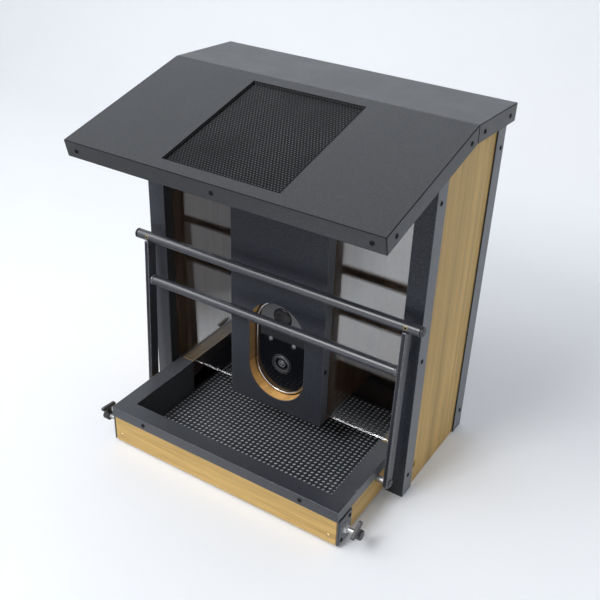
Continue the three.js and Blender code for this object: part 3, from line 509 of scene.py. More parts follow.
def facing(base, axis, turn=0.0):
    """A matrix that puts local Z along an axis through a point in metres."""
    direction = Vector(axis).to_track_quat("Z", "Y").to_matrix().to_4x4()
    return Matrix.Translation(base) @ direction @ Matrix.Rotation(turn, 4, "Z")


def weld(bm, reach=FINE_WELD):
    """Joins the corners that lie on each other."""
    bmesh.ops.remove_doubles(bm, verts=bm.verts, dist=reach * MM)


def wall(bm, upper, lower):
    """Closes the band between two loops of as many corners."""
    for i in range(len(upper)):
        after = (i + 1) % len(upper)
        bm.faces.new((upper[i], upper[after], lower[after], lower[i]))


def on_circle(radius, height, step, sides):
    """A corner of a circle about Z, in metres, from a radius and a height in millimetres."""
    angle = 2 * math.pi * step / sides
    return Vector((radius * math.cos(angle), radius * math.sin(angle), height)) * MM


def lathe(bm, profile, matrix, sides=40, look=0):
    """Turns a profile of (radius, height) in millimetres about local Z. A radius of 0 closes it."""
    rings = []
    for radius, height in profile:
        around = sides if radius else 1
        spots = [matrix @ on_circle(radius, height, step, sides) for step in range(around)]
        rings.append([bm.verts.new(spot) for spot in spots])
    for low, high in zip(rings, rings[1:]):
        for step in range(sides):
            lower = [low[i % len(low)] for i in (step, (step + 1) % sides)]
            upper = [high[i % len(high)] for i in ((step + 1) % sides, step)]
            face = bm.faces.new(list(dict.fromkeys(lower + upper)))
            face.material_index = look


def cleaned(node, heads=()):
    """A bmesh of a CAD node's own solid, with flat faces whole again and its plain screw heads taken off."""
    bm = bmesh.new()
    bm.from_mesh(frame["nodes"][node].data)
    weld(bm, CAD_WELD)
    for spot, axis in heads:
        drop_head(bm, spot, Vector(axis))
    bmesh.ops.dissolve_limit(bm, angle_limit=FLAT, verts=bm.verts, edges=bm.edges)
    return bm


def drop_head(bm, spot, axis):
    """Deletes the plain head that stands on a face at a spot, and closes the face again."""
    doomed = []
    for vert in bm.verts:
        away = vert.co - spot
        along = away.dot(axis)
        if HEAD_STEP * MM < along and (away - along * axis).length < HEAD_REACH * MM:
            doomed.append(vert)
    bmesh.ops.delete(bm, geom=doomed, context="VERTS")
    edges = [edge for edge in bm.edges if edge.is_boundary]
    bmesh.ops.holes_fill(bm, edges=edges, sides=0)


def rounded(node, look, radius, edge_look=None, heads=(), segments=2, paints=(), cut=None):
    """A CAD node's solid with its corners rounded, as a piece that stands for it.

    Each paint is a look and a test of a face's middle, in millimetres, for the faces that wear it.
    Cut is a y at which faces are parted first, so that each part can wear its own paint.
    """
    bm = cleaned(node, heads)
    sharp = [edge for edge in bm.edges if edge.is_manifold and edge.calc_face_angle(0.0) > SHARP]
    bmesh.ops.bevel(
        bm,
        geom=sharp,
        offset=radius * MM,
        offset_type="OFFSET",
        segments=segments,
        profile=0.5,
        affect="EDGES",
        clamp_overlap=False,
        material=1 if edge_look else 0,
    )
    names = [look, edge_look] if edge_look else [look]
    if cut is not None:
        everything = bm.verts[:] + bm.edges[:] + bm.faces[:]
        plane = {"plane_co": at(0, cut, 0), "plane_no": (0, 1, 0)}
        bmesh.ops.bisect_plane(bm, geom=everything, dist=CUT_REACH * MM, **plane)
    for coat, worn_by in paints:
        names.append(coat)
        for face in bm.faces:
            middle = face.calc_center_median() / MM
            if worn_by(middle.x, middle.y - face_y, middle.z):
                face.material_index = len(names) - 1
    add_piece(node + "_shape", bm, names, body_of[node], [node])


# Screws: a pan head with a cross recess
HEAD_RADIUS = 2.3
HEAD_RIM = ((HEAD_RADIUS, 0.0), (HEAD_RADIUS, 0.25), (HEAD_RADIUS - 0.2, 0.5), (HEAD_RADIUS - 0.55, 0.7))
HEAD_HEIGHT = 0.8
HEAD_FLAT = 1.45
HEAD_SIDES = 20
CROSS_ARM = 1.1
CROSS_HALF = 0.3
CROSS_DEPTH = 0.55
FIRST_TURN = 0.3
NEXT_TURN = 0.9


def screw_head(bm, spot, axis, turn):
    """A domed head standing on a face, with a cross cut in it."""
    matrix = facing(spot, axis, turn)
    lathe(bm, HEAD_RIM, matrix, sides=HEAD_SIDES)
    ring = []
    for step in range(HEAD_SIDES):
        ring.append(bm.verts.new(matrix @ on_circle(HEAD_FLAT, HEAD_HEIGHT, step, HEAD_SIDES)))
    cross = []
    for quarter in range(4):
        spin = Matrix.Rotation(quarter * math.pi / 2, 4, "Z")
        for x, y in ((CROSS_ARM, -CROSS_HALF), (CROSS_ARM, CROSS_HALF), (CROSS_HALF, CROSS_HALF)):
            cross.append(bm.verts.new(matrix @ spin @ (Vector((x, y, HEAD_HEIGHT)) * MM)))
    edges = []
    for loop in (ring, cross):
        edges += [bm.edges.new(pair) for pair in zip(loop, loop[1:] + loop[:1])]
    bmesh.ops.triangle_fill(bm, use_beauty=True, use_dissolve=False, edges=edges)
    floor = [bm.verts.new(vert.co - Vector(axis) * CROSS_DEPTH * MM) for vert in cross]
    wall(bm, cross, floor)
    bm.faces.new(floor)
    weld(bm)


def screws(name, places, body, look="screw_black"):
    """Screw heads at places of a spot and an axis, as one piece."""
    bm = bmesh.new()
    for count, (spot, axis) in enumerate(places):
        screw_head(bm, spot, axis, NEXT_TURN * count + FIRST_TURN)
    add_piece(name, bm, [look], body)


BODY_SIDE = 155.0
POST_SCREW_LIFT = 24.0
POST_SCREW_MIDDLE = 160.0
POST_SCREW_FRONT = 8.0
POST_SCREW_REAR = 133.0
COLUMN_SIDE = 55.5
COLUMN_SCREW_Y = 7.5
COLUMN_SCREW_LOW = 107.0
COLUMN_SCREW_DROP = 40.0
ROOF_SCREW_DEPTH = 9.0
ROOF_SCREW_INSET = 15.0
FASCIA_SCREW_X = 147.5
RIM_SCREWS = ((-94.3, -96.7, 39.9), (94.3, -96.7, 39.9))
BOARD_SCREWS = ((-126.0, -95.2, 12.0), (126.0, -95.2, 12.0))
PLATE_FACE = 137.0
PLATE_SCREWS = ((-90.2, 8.2), (-76.2, 28.6))
FORWARDS = (0, -1, 0)


def post_screws(side, place):
    y = POST_SCREW_FRONT if place == "front" else POST_SCREW_REAR
    heights = [POST_SCREW_LIFT, POST_SCREW_MIDDLE] if place == "front" else [POST_SCREW_LIFT]
    heights.append(roof_line(y) - POST_SCREW_LIFT)
    return [(at(side * BODY_SIDE, y, z), (side, 0, 0)) for z in heights]


def column_screws(side):
    heights = (COLUMN_SCREW_LOW, roof_line(COLUMN_SCREW_Y) - COLUMN_SCREW_DROP)
    return [(at(side * COLUMN_SIDE, COLUMN_SCREW_Y, z), (side, 0, 0)) for z in heights]


def roof_screws(slope, run):
    spots = [slope(along, ROOF_SCREW_DEPTH) for along in (ROOF_SCREW_INSET, run - ROOF_SCREW_INSET)]
    return [(at(side * ROOF_X, y, z), (side, 0, 0)) for side in SIDES.values() for y, z in spots]


def fascia_screws():
    y, z = front_slope(FRONT_RUN, ROOF_SCREW_DEPTH)
    out = (0, -math.cos(FRONT_PITCH), -math.sin(FRONT_PITCH))
    return [(at(x, y, z), out) for x in (-FASCIA_SCREW_X, 0.0, FASCIA_SCREW_X)]


def front_screws(spots):
    return [(at(*spot), FORWARDS) for spot in spots]


def plate_screws(side):
    return [(at(side * PLATE_FACE, y, z), (side, 0, 0)) for y, z in PLATE_SCREWS]


# Faces that wear a paint of their own
WINDOW_FRONT = 15.6
GROOVE_FLOOR = 141.8
BOARD_REAR = 124.5
WELL_SIDE = 119.4
CUTOUT_SIDE = 32.9
CUTOUT_BAND = 1.0
CUTOUT_LOW = 86.3
CUTOUT_HIGH = 134.3
RIDGE_BAND = 2.5
OPENING_SIDE = 60.5
OPENING_RUNS = (10.5, 150.5)
OPENING_DEPTH = 14.0
SHANK_END = 149.0


def in_recess(x, y, z):
    """Whether a point is on a side panel's inner face, in front of the window."""
    return abs(x) < GROOVE_FLOOR and y < WINDOW_FRONT


def in_bay(x, y, z):
    """Whether a point is on a side panel's inner face or in its groove, behind the window's front."""
    return abs(x) < GROOVE_FLOOR and y > WINDOW_FRONT


def off_board_rear(x, y, z):
    """Whether a point is anywhere on the tray's back board but its rear face."""
    return y < BOARD_REAR


def in_well(x, y, z):
    """Whether a point is on a tray side board's inner face."""
    return abs(x) < WELL_SIDE


def in_opening(x, y, z):
    """Whether a point is on the walls or the floor of the opening for the solar panel."""
    run = (RIDGE_Y - y) * math.cos(FRONT_PITCH) + (RIDGE_Z - z) * math.sin(FRONT_PITCH)
    depth = (RIDGE_Z - z) * math.cos(FRONT_PITCH) - (RIDGE_Y - y) * math.sin(FRONT_PITCH)
    return abs(x) < OPENING_SIDE and OPENING_RUNS[0] < run < OPENING_RUNS[1] and depth < OPENING_DEPTH


def on_straight_wall(x, y, z):
    """Whether a point is on an upright wall of the column's cut-out."""
    return CUTOUT_SIDE < abs(x) < CUTOUT_SIDE + CUTOUT_BAND and CUTOUT_LOW < z < CUTOUT_HIGH


def at_ridge(x, y, z):
    """Whether a point is on the roof sheets' rounded corners along the ridge."""
    return abs(y - RIDGE_Y) < RIDGE_BAND and z > RIDGE_Z - RIDGE_BAND


def on_shank(x, y, z):
    """Whether a point is on a wing bolt's shank, between the tray and the hub."""
    return abs(x) < SHANK_END


# The parts that keep their CAD shape: node, look and the radius of the rounded corners
PLAIN_PAIRS = (
    ("tray_runner", "zinc", 0.25),
    # The bay walls, and below the back panel and bay floor, wear the darker inside wood: painted shade
    ("bay_wall", "inner_shaded_z", 0.6),
    ("hinge_body_leaf", "zinc", 0.3),
    ("hinge_roof_leaf", "zinc", 0.3),
    ("hinge_pin", "zinc", 0.25),
    ("perch_spacer", "zinc", 0.3),
)
PLAIN_PIECES = (
    ("back_panel", "back_shaded_z", 0.8),
    ("bay_floor", "inner_shaded_x", 0.6),
    ("camera_housing", "matte_black", 0.5),
    ("camera_face", "gloss_black", 0.25),
    ("camera_board", "circuit_board", 0.15),
    ("power_button", "matte_black", 0.4),
    ("solar_junction_box", "matte_black", 0.8),
)
BOARD_ROUND = 0.8
SIDE_BOARD_ROUND = 0.9
FRONT_BOARD_ROUND = 1.0
CORE_ROUND = 0.6
SHEET_ROUND = 0.45
COLUMN_ROUND = 0.4
ROOF_ROUND = 0.65
WINDOW_ROUND = 0.3
ARM_ROUND = 1.0
RING_ROUND = 0.7
CELL_ROUND = 1.6
WING_ROUND = 0.6


def plain_pieces():
    for node, look, radius in PLAIN_PAIRS:
        for name in SIDES:
            rounded(f"{node}_{name}", look, radius)
    for node, look, radius in PLAIN_PIECES:
        rounded(node, look, radius)


def plated_with_screws(node, radius, heads, body):
    """A black sheet whose rounded corners are paler, partly rubbed wear and partly a painted highlight, and
    its screws as a piece of their own.
    """
    rounded(node, "black_steel", radius, "black_edge_worn_highlight", heads)
    screws(node + "_screws", heads, body)


def housing_shells():
    # The side panels' inner faces wear painted shade: black in front of the window, the darker inside wood
    # behind it
    sides_worn = (("shadow_black", in_recess), ("inner_shaded_z", in_bay))
    for name, side in SIDES.items():
        rounded(f"side_panel_{name}", "cedar_z", BOARD_ROUND, paints=sides_worn, cut=WINDOW_FRONT)
        rounded(f"window_{name}", "acrylic", WINDOW_ROUND, "acrylic_edge")
        for place in ("front", "rear"):
            heads = post_screws(side, place)
            plated_with_screws(f"corner_post_{place}_{name}", SHEET_ROUND, heads, "housing")


def column():
    plated_with_screws("column_cover", COLUMN_ROUND, column_screws(-1) + column_screws(1), "housing")
    # The cut-out's upright walls wear the darker copy of the core wood: painted shade
    rounded("column_core", "core", CORE_ROUND, paints=[("core_shaded", on_straight_wall)])
    rounded("camera_ring", "chrome", RING_ROUND, segments=3)
    rounded("battery_pack", "matte_black", CELL_ROUND, segments=3)


def roof():
    for place, slope, run in (("front", front_slope, FRONT_RUN), ("rear", rear_slope, REAR_RUN)):
        heads = roof_screws(slope, run)
        if place == "front":
            heads += fascia_screws()
        # The sheets' rounded bends wear the darker coat, a painted line of shade, except along the ridge
        ridge_worn = [("roof_steel", at_ridge)]
        rounded(f"roof_{place}_sheet", "roof_steel", ROOF_ROUND, "roof_edge_shade", heads, paints=ridge_worn)
        screws(f"roof_{place}_screws", heads, "roof")
        # The deck wears the darker inside wood, painted shade, and its solar opening's walls are painted
        # black
        rounded(f"roof_{place}_deck", "inner_shaded_x", BOARD_ROUND, paints=[("shadow_black", in_opening)])


def tray():
    for name, side in SIDES.items():
        # The side boards' inner faces wear the near-black wood: painted shade
        rounded(f"tray_side_board_{name}", "cedar_y", SIDE_BOARD_ROUND, paints=[("deep_shade_z", in_well)])
        plated_with_screws(f"tray_corner_plate_{name}", SHEET_ROUND, plate_screws(side), "tray")
    # The back board wears the near-black wood everywhere but its rear face: painted shade
    rounded("tray_back_board", "cedar_x", BOARD_ROUND, paints=[("deep_shade_x", off_board_rear)])
    plated_with_screws("tray_rim", SHEET_ROUND, front_screws(RIM_SCREWS), "tray")
    rounded("tray_front_board", "cedar_x", FRONT_BOARD_ROUND, heads=front_screws(BOARD_SCREWS))
    screws("tray_board_screws", front_screws(BOARD_SCREWS), "tray", "brass")


# The punched floor of the tray
FLOOR_PITCH = (5.45, 4.9)
FLOOR_HOLE = 1.8
FLOOR_EDGE = 4.5
HOLE_SIDES = 12
FLAT_AXES = (0, 1)


def punched_floor():
    """A sheet with rows of round holes, made cell by cell, grown to its edges and given its thickness."""
    low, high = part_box("tray_floor")
    middle = (low + high) / 2
    counts = [int(((high[i] - low[i]) / MM - 2 * FLOOR_EDGE) // FLOOR_PITCH[i]) for i in FLAT_AXES]
    bm = bmesh.new()
    for across in range(counts[0]):
        for back in range(counts[1]):
            x = (across - (counts[0] - 1) / 2) * FLOOR_PITCH[0]
            y = (back - (counts[1] - 1) / 2) * FLOOR_PITCH[1]
            punched_cell(bm, middle.x / MM + x, middle.y / MM + y, high.z / MM)
    weld(bm, CAD_WELD)
    reach = [counts[i] * FLOOR_PITCH[i] / 2 * MM for i in FLAT_AXES]

    def on_outline(vert, i):
        return abs(abs(vert.co[i] - middle[i]) - reach[i]) < CAD_WELD * MM

    outline = [
        edge
        for edge in bm.edges
        if edge.is_boundary and any(all(on_outline(vert, i) for vert in edge.verts) for i in FLAT_AXES)
    ]
    for vert in corners_of(bmesh.ops.extrude_edge_only(bm, edges=outline)):
        for i in FLAT_AXES:
            if on_outline(vert, i):
                vert.co[i] = low[i] if vert.co[i] < middle[i] else high[i]
    for vert in corners_of(bmesh.ops.extrude_face_region(bm, geom=bm.faces[:], use_keep_orig=True)):
        vert.co.z = low.z
    add_piece("tray_floor_mesh", bm, ["punched_steel"], "tray", ["tray_floor"])


def corners_of(grown):
    """The corners among what an extrusion has made."""
    return [made for made in grown["geom"] if isinstance(made, bmesh.types.BMVert)]


def punched_cell(bm, x, y, z):
    """One cell of the floor: a ring of flat faces between a round hole and the cell's edges."""
    half_x, half_y = (pitch / 2 for pitch in FLOOR_PITCH)
    hole, rim = [], []
    for step in range(HOLE_SIDES):
        angle = 2 * math.pi * step / HOLE_SIDES
        cos, sin = math.cos(angle), math.sin(angle)
        grow = 1 / max(abs(cos), abs(sin))
        hole.append(bm.verts.new(Vector((x + FLOOR_HOLE * cos, y + FLOOR_HOLE * sin, z)) * MM))
        rim.append(bm.verts.new(Vector((x + half_x * cos * grow, y + half_y * sin * grow, z)) * MM))
    quarter = HOLE_SIDES // 4
    for step in range(HOLE_SIDES):
        after = (step + 1) % HOLE_SIDES
        corners = [hole[step], hole[after], rim[after], rim[step]]
        if step % quarter == 1:
            angle = math.pi / 4 + (step // quarter) * math.pi / 2
            side_x = math.copysign(half_x, math.cos(angle))
            side_y = math.copysign(half_y, math.sin(angle))
            corners.insert(3, bm.verts.new(Vector((x + side_x, y + side_y, z)) * MM))
        bm.faces.new(corners)


# The solar panel: a slab whose face is pressed with dimples
SOLAR_SPAN = 117.4
STEPS_PER_DIMPLE = 4


def dimple(across, along):
    """The height of the pressed face above its hollows, in millimetres."""
    first = 2 * math.pi * across / DIMPLE_SPACING
    second = math.pi * along / DIMPLE_ROW
    wave = math.cos(2 * second) + 2 * math.cos(first) * math.cos(second)
    return DIMPLE_HEIGHT * (wave - WAVE_LOW) / (WAVE_HIGH - WAVE_LOW)


def solar_panel():
    first_run, last_run = SOLAR_RUNS
    columns = round(SOLAR_SPAN / (DIMPLE_SPACING / STEPS_PER_DIMPLE))
    rows = round((last_run - first_run) / (DIMPLE_ROW / STEPS_PER_DIMPLE))
    bm = bmesh.new()
    grid = []
    for row in range(rows + 1):
        run = first_run + (last_run - first_run) * row / rows
        line = []
        for step in range(columns + 1):
            x = SOLAR_SPAN * (step / columns - 0.5)
            inside = 0 < row < rows and 0 < step < columns
            lift = dimple(x, run) if inside else 0.0
            line.append(bm.verts.new(at(x, *front_slope(run, SOLAR_DEPTHS[0] + DIMPLE_HEIGHT - lift))))
        grid.append(line)
    for low, high in zip(grid, grid[1:]):
        for step in range(columns):
            bm.faces.new((low[step], low[step + 1], high[step + 1], high[step]))
    right, left = [line[-1] for line in grid[1:]], [line[0] for line in grid[-2:0:-1]]
    edge = grid[0] + right + grid[-1][-2::-1] + left
    drop = SOLAR_DEPTHS[1] - SOLAR_DEPTHS[0] - DIMPLE_HEIGHT
    down = Vector((0, math.sin(FRONT_PITCH), -math.cos(FRONT_PITCH))) * drop * MM
    under = [bm.verts.new(vert.co + down) for vert in edge]
    wall(bm, edge, under)
    bm.faces.new(under)
    add_piece("solar_panel_face", bm, ["solar_cells"], "roof", ["solar_panel"])


# The perch. Each profile is a row of (radius, height) in millimetres.
BAR_RADIUS = 5.0
BORE_RADIUS = 4.0
BAR_LIP = 0.4
BAR_SINK = 0.3
ARM_MIDDLE = 146.0
SET_SLANT = math.radians(12.0)
SET_RING = ((1.3, 0.3), (1.5, 0.6), (1.9, 0.45), (2.0, 0.0), (1.3, 0.0), (1.3, 0.3))
SET_SOCKET = ((0, 0.32), (1.25, 0.32), (1.25, 0.0), (0, 0.0))
BEAD_RADIUS = 0.7
BEAD_RISE = 0.1
BEAD_LENGTH = 3.2
BEAD_SINK = 3.6
BEAD_STEPS = 6
CAP_BORE = 3.7
CAP_FACE = ((0, 0), (2.4, -0.05), (2.7, -0.5), (3.2, -0.5), (3.5, -0.1), (4.4, -0.35), (4.95, -1.0))
CAP_SIDE = ((BAR_RADIUS, -1.6), (BAR_RADIUS, -1.95), (CAP_BORE, -2.0))
PIVOT_FACE = ((0, -0.55), (1.2, -0.55), (1.25, -0.05), (2.6, -0.02), (3.5, -0.4), (4.0, -1.0), (4.0, -1.5))
PIVOT_SHANK = 2.0
PIVOT_NECK = -1.55
PIVOT_TIP = 1.4
PIVOT_TAPER = 0.6


def middle_of(node):
    low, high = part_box(node)
    return (low + high) / 2


def length_of(node):
    """A piece's length along X, in millimetres."""
    low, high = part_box(node)
    return (high.x - low.x) / MM


def outer_end(node, side):
    """The middle of the end that a piece turns to its side of the feeder."""
    low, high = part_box(node)
    middle = middle_of(node)
    return Vector((high.x if side > 0 else low.x, middle.y, middle.z))


def front_face(node):
    """The middle of a piece's front, and its depth in millimetres."""
    low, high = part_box(node)
    middle = middle_of(node)
    return Vector((middle.x, low.y, middle.z)), (high.y - low.y) / MM


def perch_bar(node):
    """A round tube along X, open at its ends, with turned-in lips."""
    half = length_of(node) / 2
    profile = [
        (BORE_RADIUS, -half),
        (BAR_RADIUS - BAR_LIP, -half),
        (BAR_RADIUS, -half + BAR_LIP),
        (BAR_RADIUS, half - BAR_LIP),
        (BAR_RADIUS - BAR_LIP, half),
        (BORE_RADIUS, half),
        (BORE_RADIUS, -half),
    ]
    bm = bmesh.new()
    lathe(bm, profile, facing(middle_of(node), (1, 0, 0)), sides=48)
    weld(bm)
    add_piece(node + "_tube", bm, ["perch_steel"], "perch", [node])


def perch_caps():
    for name, side in SIDES.items():
        node = f"perch_end_cap_{name}"
        length = length_of(node)
        profile = [*CAP_FACE, *CAP_SIDE, (CAP_BORE, -length), (0, -length)]
        bm = bmesh.new()
        lathe(bm, profile, facing(outer_end(node, side), (side, 0, 0)))
        add_piece(node + "_plug", bm, ["wing_black"], "perch", [node])


def set_screws():
    """Socket screws in the upper bar's front, which hold it to the arms."""
    middle = middle_of("perch_bar_upper")
    out = Vector((0, -math.cos(SET_SLANT), math.sin(SET_SLANT)))
    bm = bmesh.new()
    for side in SIDES.values():
        spot = Vector((side * ARM_MIDDLE * MM, middle.y, middle.z)) + (BAR_RADIUS - BAR_SINK) * MM * out
        lathe(bm, SET_RING, facing(spot, out), sides=24)
        # The socket's floor wears the black screw paint: painted shade in its recess
        lathe(bm, SET_SOCKET, facing(spot, out), sides=24, look=1)
    weld(bm)
    add_piece("perch_set_screws", bm, ["dull_brass", "screw_black"], "perch")


def weld_beads():
    """The rounded beads that join the lower bar's ends to the arms."""
    node = "perch_bar_lower"
    base = BAR_RADIUS - BAR_SINK
    profile = [(base, -BEAD_SINK)]
    for step in range(BEAD_STEPS + 1):
        bulge = BEAD_RADIUS * math.sin(step / BEAD_STEPS * math.pi)
        profile.append((BAR_RADIUS + BEAD_RISE + bulge, BEAD_LENGTH * step / BEAD_STEPS - BEAD_LENGTH))
    profile += [(base, BEAD_RISE), (base, -BEAD_SINK)]
    bm = bmesh.new()
    for side in SIDES.values():
        end = middle_of(node) + Vector((side * length_of(node) / 2 * MM, 0, 0))
        lathe(bm, profile, facing(end, (side, 0, 0)))
    weld(bm)
    # The beads wear the paler edge coat: a painted highlight
    add_piece("perch_weld_beads", bm, ["perch_edge_highlight"], "perch")


def pivot_bolts():
    for name, side in SIDES.items():
        node = f"perch_pivot_bolt_{name}"
        tip = -length_of(node)
        shank = [(PIVOT_SHANK, PIVOT_NECK), (PIVOT_SHANK, tip + PIVOT_TAPER), (PIVOT_TIP, tip), (0, tip)]
        bm = bmesh.new()
        lathe(bm, [*PIVOT_FACE, *shank], facing(outer_end(node, side), (side, 0, 0)), sides=32)
        add_piece(node + "_head", bm, ["perch_steel"], "tray", [node], slot="zinc_steel")


# The wing bolts at the tray's front corners, each with a washer and a nut against its plate
WING_AXIS = (-86.0, 21.0)
WING_TURN = 0.3
NUT_RADIUS = 4.6
NUT_CHAMFER = 0.4
NUT_HEIGHTS = (0.95, 1.4, 4.0, 4.5)
WASHER_RADIUS = 5.0
WASHER_THICK = 0.9
NUT_BORE = 2.55


def wing_bolts():
    washer = [(NUT_BORE, 0.0), (WASHER_RADIUS, 0.0), (WASHER_RADIUS, WASHER_THICK), (NUT_BORE, WASHER_THICK)]
    radii = (NUT_RADIUS - NUT_CHAMFER, NUT_RADIUS, NUT_RADIUS, NUT_RADIUS - NUT_CHAMFER)
    nut = [(NUT_BORE, NUT_HEIGHTS[0]), *zip(radii, NUT_HEIGHTS), (NUT_BORE, NUT_HEIGHTS[-1])]
    for name, side in SIDES.items():
        rounded(f"wing_bolt_{name}", "wing_black", WING_ROUND, segments=3, paints=[("zinc", on_shank)])
        bm = bmesh.new()
        matrix = facing(at(side * PLATE_FACE, *WING_AXIS), (side, 0, 0), WING_TURN)
        lathe(bm, washer + washer[:1], matrix)
        lathe(bm, nut + nut[:1], matrix, sides=6)
        weld(bm)
        add_piece(f"wing_bolt_nut_{name}", bm, ["zinc"], "tray")


# The camera's optics. Bands are the number of a look and a profile about the lens's axis.
BARREL_BORE = 7.1
BARREL_RADIUS = 9.5
BARREL_FLOOR = -2.2
FLANGE_RADIUS = 11.3
FLANGE_REAR = -0.75
GLASS_RADIUS = 7.0
GLASS_RIM = -0.8
LENS_SIDES = 64
BARREL_BANDS = (
    (0, ((BARREL_BORE, BARREL_FLOOR), (BARREL_BORE, -1.3), (7.7, -1.3))),
    (1, ((7.7, -1.3), (7.7, -0.7), (8.0, -0.6))),
    (0, ((8.0, -0.6), (8.5, -0.6), (8.5, -0.1))),
    (1, ((8.5, -0.1), (8.8, 0.0), (9.1, 0.0), (9.4, -0.2), (BARREL_RADIUS, -0.4))),
    (0, ((BARREL_RADIUS, -0.4), (BARREL_RADIUS, -0.62), (10.9, -0.62))),
    (1, ((10.9, -0.62), (11.0, -0.42), (11.25, -0.42), (FLANGE_RADIUS, FLANGE_REAR))),
)
GLASS_BANDS = (
    (1, ((0, -0.02), (1.0, -0.06), (1.9, -0.2), (2.4, -0.42))),
    (0, ((2.4, -0.42), (2.7, -0.75), (3.1, -0.8))),
    (1, ((3.1, -0.8), (3.9, -0.6), (4.4, -0.55))),
    (0, ((4.4, -0.55), (5.4, -0.42), (6.4, -0.5), (GLASS_RADIUS, GLASS_RIM))),
)
LED_RADIUS = 2.7
LED_FACE = ((0, 0), (1.2, -0.12), (2.0, -0.5), (2.5, -1.1), (LED_RADIUS, -1.8))
LED_SIDES = 28
DOME_BULGE = 2.4
DOME_STEPS = 6
DOME_SIDES = 36


def turned(name, look_names, node, bands, sides, slot=None):
    """A piece turned about an axis that points forwards, from its front face."""
    bm = bmesh.new()
    for look, profile in bands:
        lathe(bm, profile, facing(front_face(node)[0], FORWARDS), sides, look)
    weld(bm)
    add_piece(name, bm, look_names, "housing", [node], slot)


def lens():
    length = front_face("lens_barrel")[1]
    flange = [(FLANGE_RADIUS, FLANGE_REAR), (BARREL_RADIUS, FLANGE_REAR)]
    tube = [(BARREL_RADIUS, -length), (BARREL_BORE, -length), (BARREL_BORE, BARREL_FLOOR)]
    bands = [*BARREL_BANDS, (0, flange + tube)]
    look_names = ["dome_black", "lens_ring"]
    turned("lens_barrel_rings", look_names, "lens_barrel", bands, LENS_SIDES, slot="matte_black")
    depth = front_face("lens_glass")[1]
    side = [(GLASS_RADIUS, GLASS_RIM), (GLASS_RADIUS, -depth), (0, -depth)]
    bands = [*GLASS_BANDS, (0, side)]
    turned("lens_glass_face", ["lens_glass", "lens_core"], "lens_glass", bands, LENS_SIDES)


def sensor_dome():
    """The motion sensor's window: a low dome."""
    node = "motion_sensor_window"
    depth = front_face(node)[1]
    radius = length_of(node) / 2
    profile = [(0, 0.0)]
    for ring in range(1, DOME_STEPS + 1):
        angle = ring / DOME_STEPS * math.pi / 2
        profile.append((radius * math.sin(angle), -DOME_BULGE * (1 - math.cos(angle))))
    profile += [(radius, -depth), (0, -depth)]
    turned("motion_sensor_dome", ["dome_black"], node, [(0, profile)], DOME_SIDES)


def leds():
    for name in SIDES:
        node = f"infrared_led_{name}"
        depth = front_face(node)[1]
        profile = [*LED_FACE, (LED_RADIUS, -depth), (0, -depth)]
        turned(node + "_lens", ["led"], node, [(0, profile)], LED_SIDES)


# The room, in metres: a pale sweep under and behind the feeder, a key light, a soft one above and a wide one
# from the left
FLOOR_TONE = (0.88, 0.905, 0.945)
FLOOR_MOTTLE = 0.985
FLOOR_GLOW = 0.06
FLOOR_FRONT = -3.0
FLOOR_HALF = 3.5
WALL_DISTANCE = 0.62
WALL_TOP = 3.0
SWEEP_RADIUS = 0.28
SWEEP_STEPS = 12
SHADE_TONE = (0.05, 0.05, 0.055)
SHADE_CENTRE = (-0.4, -0.33, 0.0)
SHADE_REACH = (0.2, 0.33)
SHADE_DEPTH = 0.85
AIM = (0.0, 0.0, 0.15)
# Each light's name, size, power and place
LIGHTS = (
    ("key", 0.55, 17.0, (-0.35, -1.5, 1.6)),
    ("top", 1.6, 5.0, (0.1, -0.1, 2.0)),
    ("side", 1.5, 26.0, (-1.0, -1.1, 1.9)),
)
FILL = ((0.96, 0.98, 1.0, 1.0), 0.2)
BACKDROP = ((0.965, 0.98, 1.0, 1.0), 0.9)


def seen_rays(tree):
    """1 for the rays that show the background, straight, mirrored or through glass, else 0."""
    path = tree.nodes.new("ShaderNodeLightPath")
    share = path.outputs["Is Camera Ray"]
    for kind in ("Is Glossy Ray", "Is Transmission Ray"):
        larger = tree.nodes.new("ShaderNodeMath")
        larger.operation = "MAXIMUM"
        tree.links.new(share, larger.inputs[0])
        tree.links.new(path.outputs[kind], larger.inputs[1])
        share = larger.outputs[0]
    return share


def floor_shade(look):
    """A dark patch beside the feeder that shows in mirrors and bounced light, not to the eye."""
    away = look.node("ShaderNodeVectorMath", operation="DISTANCE")
    look.put(look.place(), away.inputs[0])
    look.put(SHADE_CENTRE, away.inputs[1])
    dark = look.spread(away.outputs["Value"], SHADE_DEPTH, 0.0, *SHADE_REACH)
    eye = look.node("ShaderNodeLightPath").outputs["Is Camera Ray"]
    return look.maths("MULTIPLY", dark, look.maths("SUBTRACT", 1.0, eye))


def clear_from_behind(look):
    """Makes a sheet clear where its back is seen, so that the feeder shows from there too."""
    behind = look.node("ShaderNodeMixShader")
    look.put(look.node("ShaderNodeNewGeometry").outputs["Backfacing"], behind.inputs[0])
    look.put(look.shader.outputs[0], behind.inputs[1])
    look.put(look.node("ShaderNodeBsdfTransparent").outputs[0], behind.inputs[2])
    look.put(behind.outputs[0], look.tree.nodes["Material Output"].inputs["Surface"])


def floor_look():
    """Pale paper that looks slightly bright by itself."""
    look = Look("paper")
    mottle = look.share(look.noise(scale=7.0, detail=4.0))
    fibre = look.noise(scale=500.0, detail=3.0)
    toned = look.mix(mottle, FLOOR_TONE, tinted(FLOOR_TONE, FLOOR_MOTTLE))
    shaded = look.mix(floor_shade(look), toned, SHADE_TONE)
    glow = look.maths("MULTIPLY", seen_rays(look.tree), FLOOR_GLOW)
    look.feed(look.shader, Emission_Color=shaded, Emission_Strength=glow)
    clear_from_behind(look)
    return look.finish(shaded, look.spread(fibre, 0.75, 0.85), look.bump(fibre, 0.02))


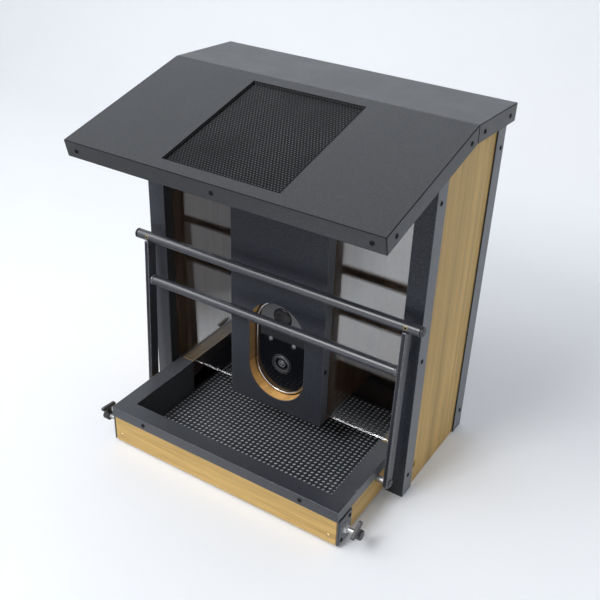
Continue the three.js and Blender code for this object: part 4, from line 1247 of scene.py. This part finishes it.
def make_floor():
    """A sheet that lies flat, bends up behind the feeder and stands as a wall."""
    rows = [(FLOOR_FRONT, 0.0), (WALL_DISTANCE, 0.0)]
    for step in range(1, SWEEP_STEPS + 1):
        angle = step / SWEEP_STEPS * math.pi / 2
        rows.append((WALL_DISTANCE + SWEEP_RADIUS * math.sin(angle), SWEEP_RADIUS * (1 - math.cos(angle))))
    rows.append((WALL_DISTANCE + SWEEP_RADIUS, WALL_TOP))
    bm = bmesh.new()
    lines = [[bm.verts.new((x, y, z)) for x in (-FLOOR_HALF, FLOOR_HALF)] for y, z in rows]
    for low, high in zip(lines, lines[1:]):
        bm.faces.new((low[0], low[1], high[1], high[0]))
    mesh = bpy.data.meshes.new("floor")
    bm.to_mesh(mesh)
    bm.free()
    mesh.shade_smooth()
    mesh.materials.append(floor_look())
    floor = bpy.data.objects.new("floor", mesh)
    bpy.context.scene.collection.objects.link(floor)


def make_light(name, size, power, place):
    data = bpy.data.lights.new(name, "AREA")
    data.shape = "SQUARE"
    data.size = size
    data.energy = power
    light = bpy.data.objects.new(name, data)
    bpy.context.scene.collection.objects.link(light)
    light.location = place
    light.rotation_mode = "QUATERNION"
    light.rotation_quaternion = (Vector(AIM) - Vector(place)).to_track_quat("-Z", "Y")


def make_world():
    """A white backdrop for the rays that show it, and a fainter sky that lights the scene."""
    world = bpy.data.worlds.new("room")
    bpy.context.scene.world = world
    world.use_nodes = True
    tree = world.node_tree
    backdrop = tree.nodes["Background"]
    fill = tree.nodes.new("ShaderNodeBackground")
    for sky, (colour, strength) in ((backdrop, BACKDROP), (fill, FILL)):
        sky.inputs["Color"].default_value = colour
        sky.inputs["Strength"].default_value = strength
    mix = tree.nodes.new("ShaderNodeMixShader")
    tree.links.new(seen_rays(tree), mix.inputs[0])
    tree.links.new(fill.outputs[0], mix.inputs[1])
    tree.links.new(backdrop.outputs[0], mix.inputs[2])
    tree.links.new(mix.outputs[0], tree.nodes["World Output"].inputs["Surface"])


bpy.context.scene.view_settings.view_transform = "Standard"
make_camera()
make_world()
make_floor()
for light in LIGHTS:
    make_light(*light)
make_woods()
make_paints()
make_metals()
make_plastics()
plain_pieces()
housing_shells()
column()
roof()
tray()
punched_floor()
solar_panel()
for bar in ("perch_bar_upper", "perch_bar_lower"):
    perch_bar(bar)
for arm in ("perch_arm_left", "perch_arm_right"):
    # The arms' rounded edges wear the paler edge coat: a painted highlight
    rounded(arm, "arm_steel", ARM_ROUND, "perch_edge_highlight", segments=3)
perch_caps()
set_screws()
weld_beads()
pivot_bolts()
wing_bolts()
lens()
sensor_dome()
leds()
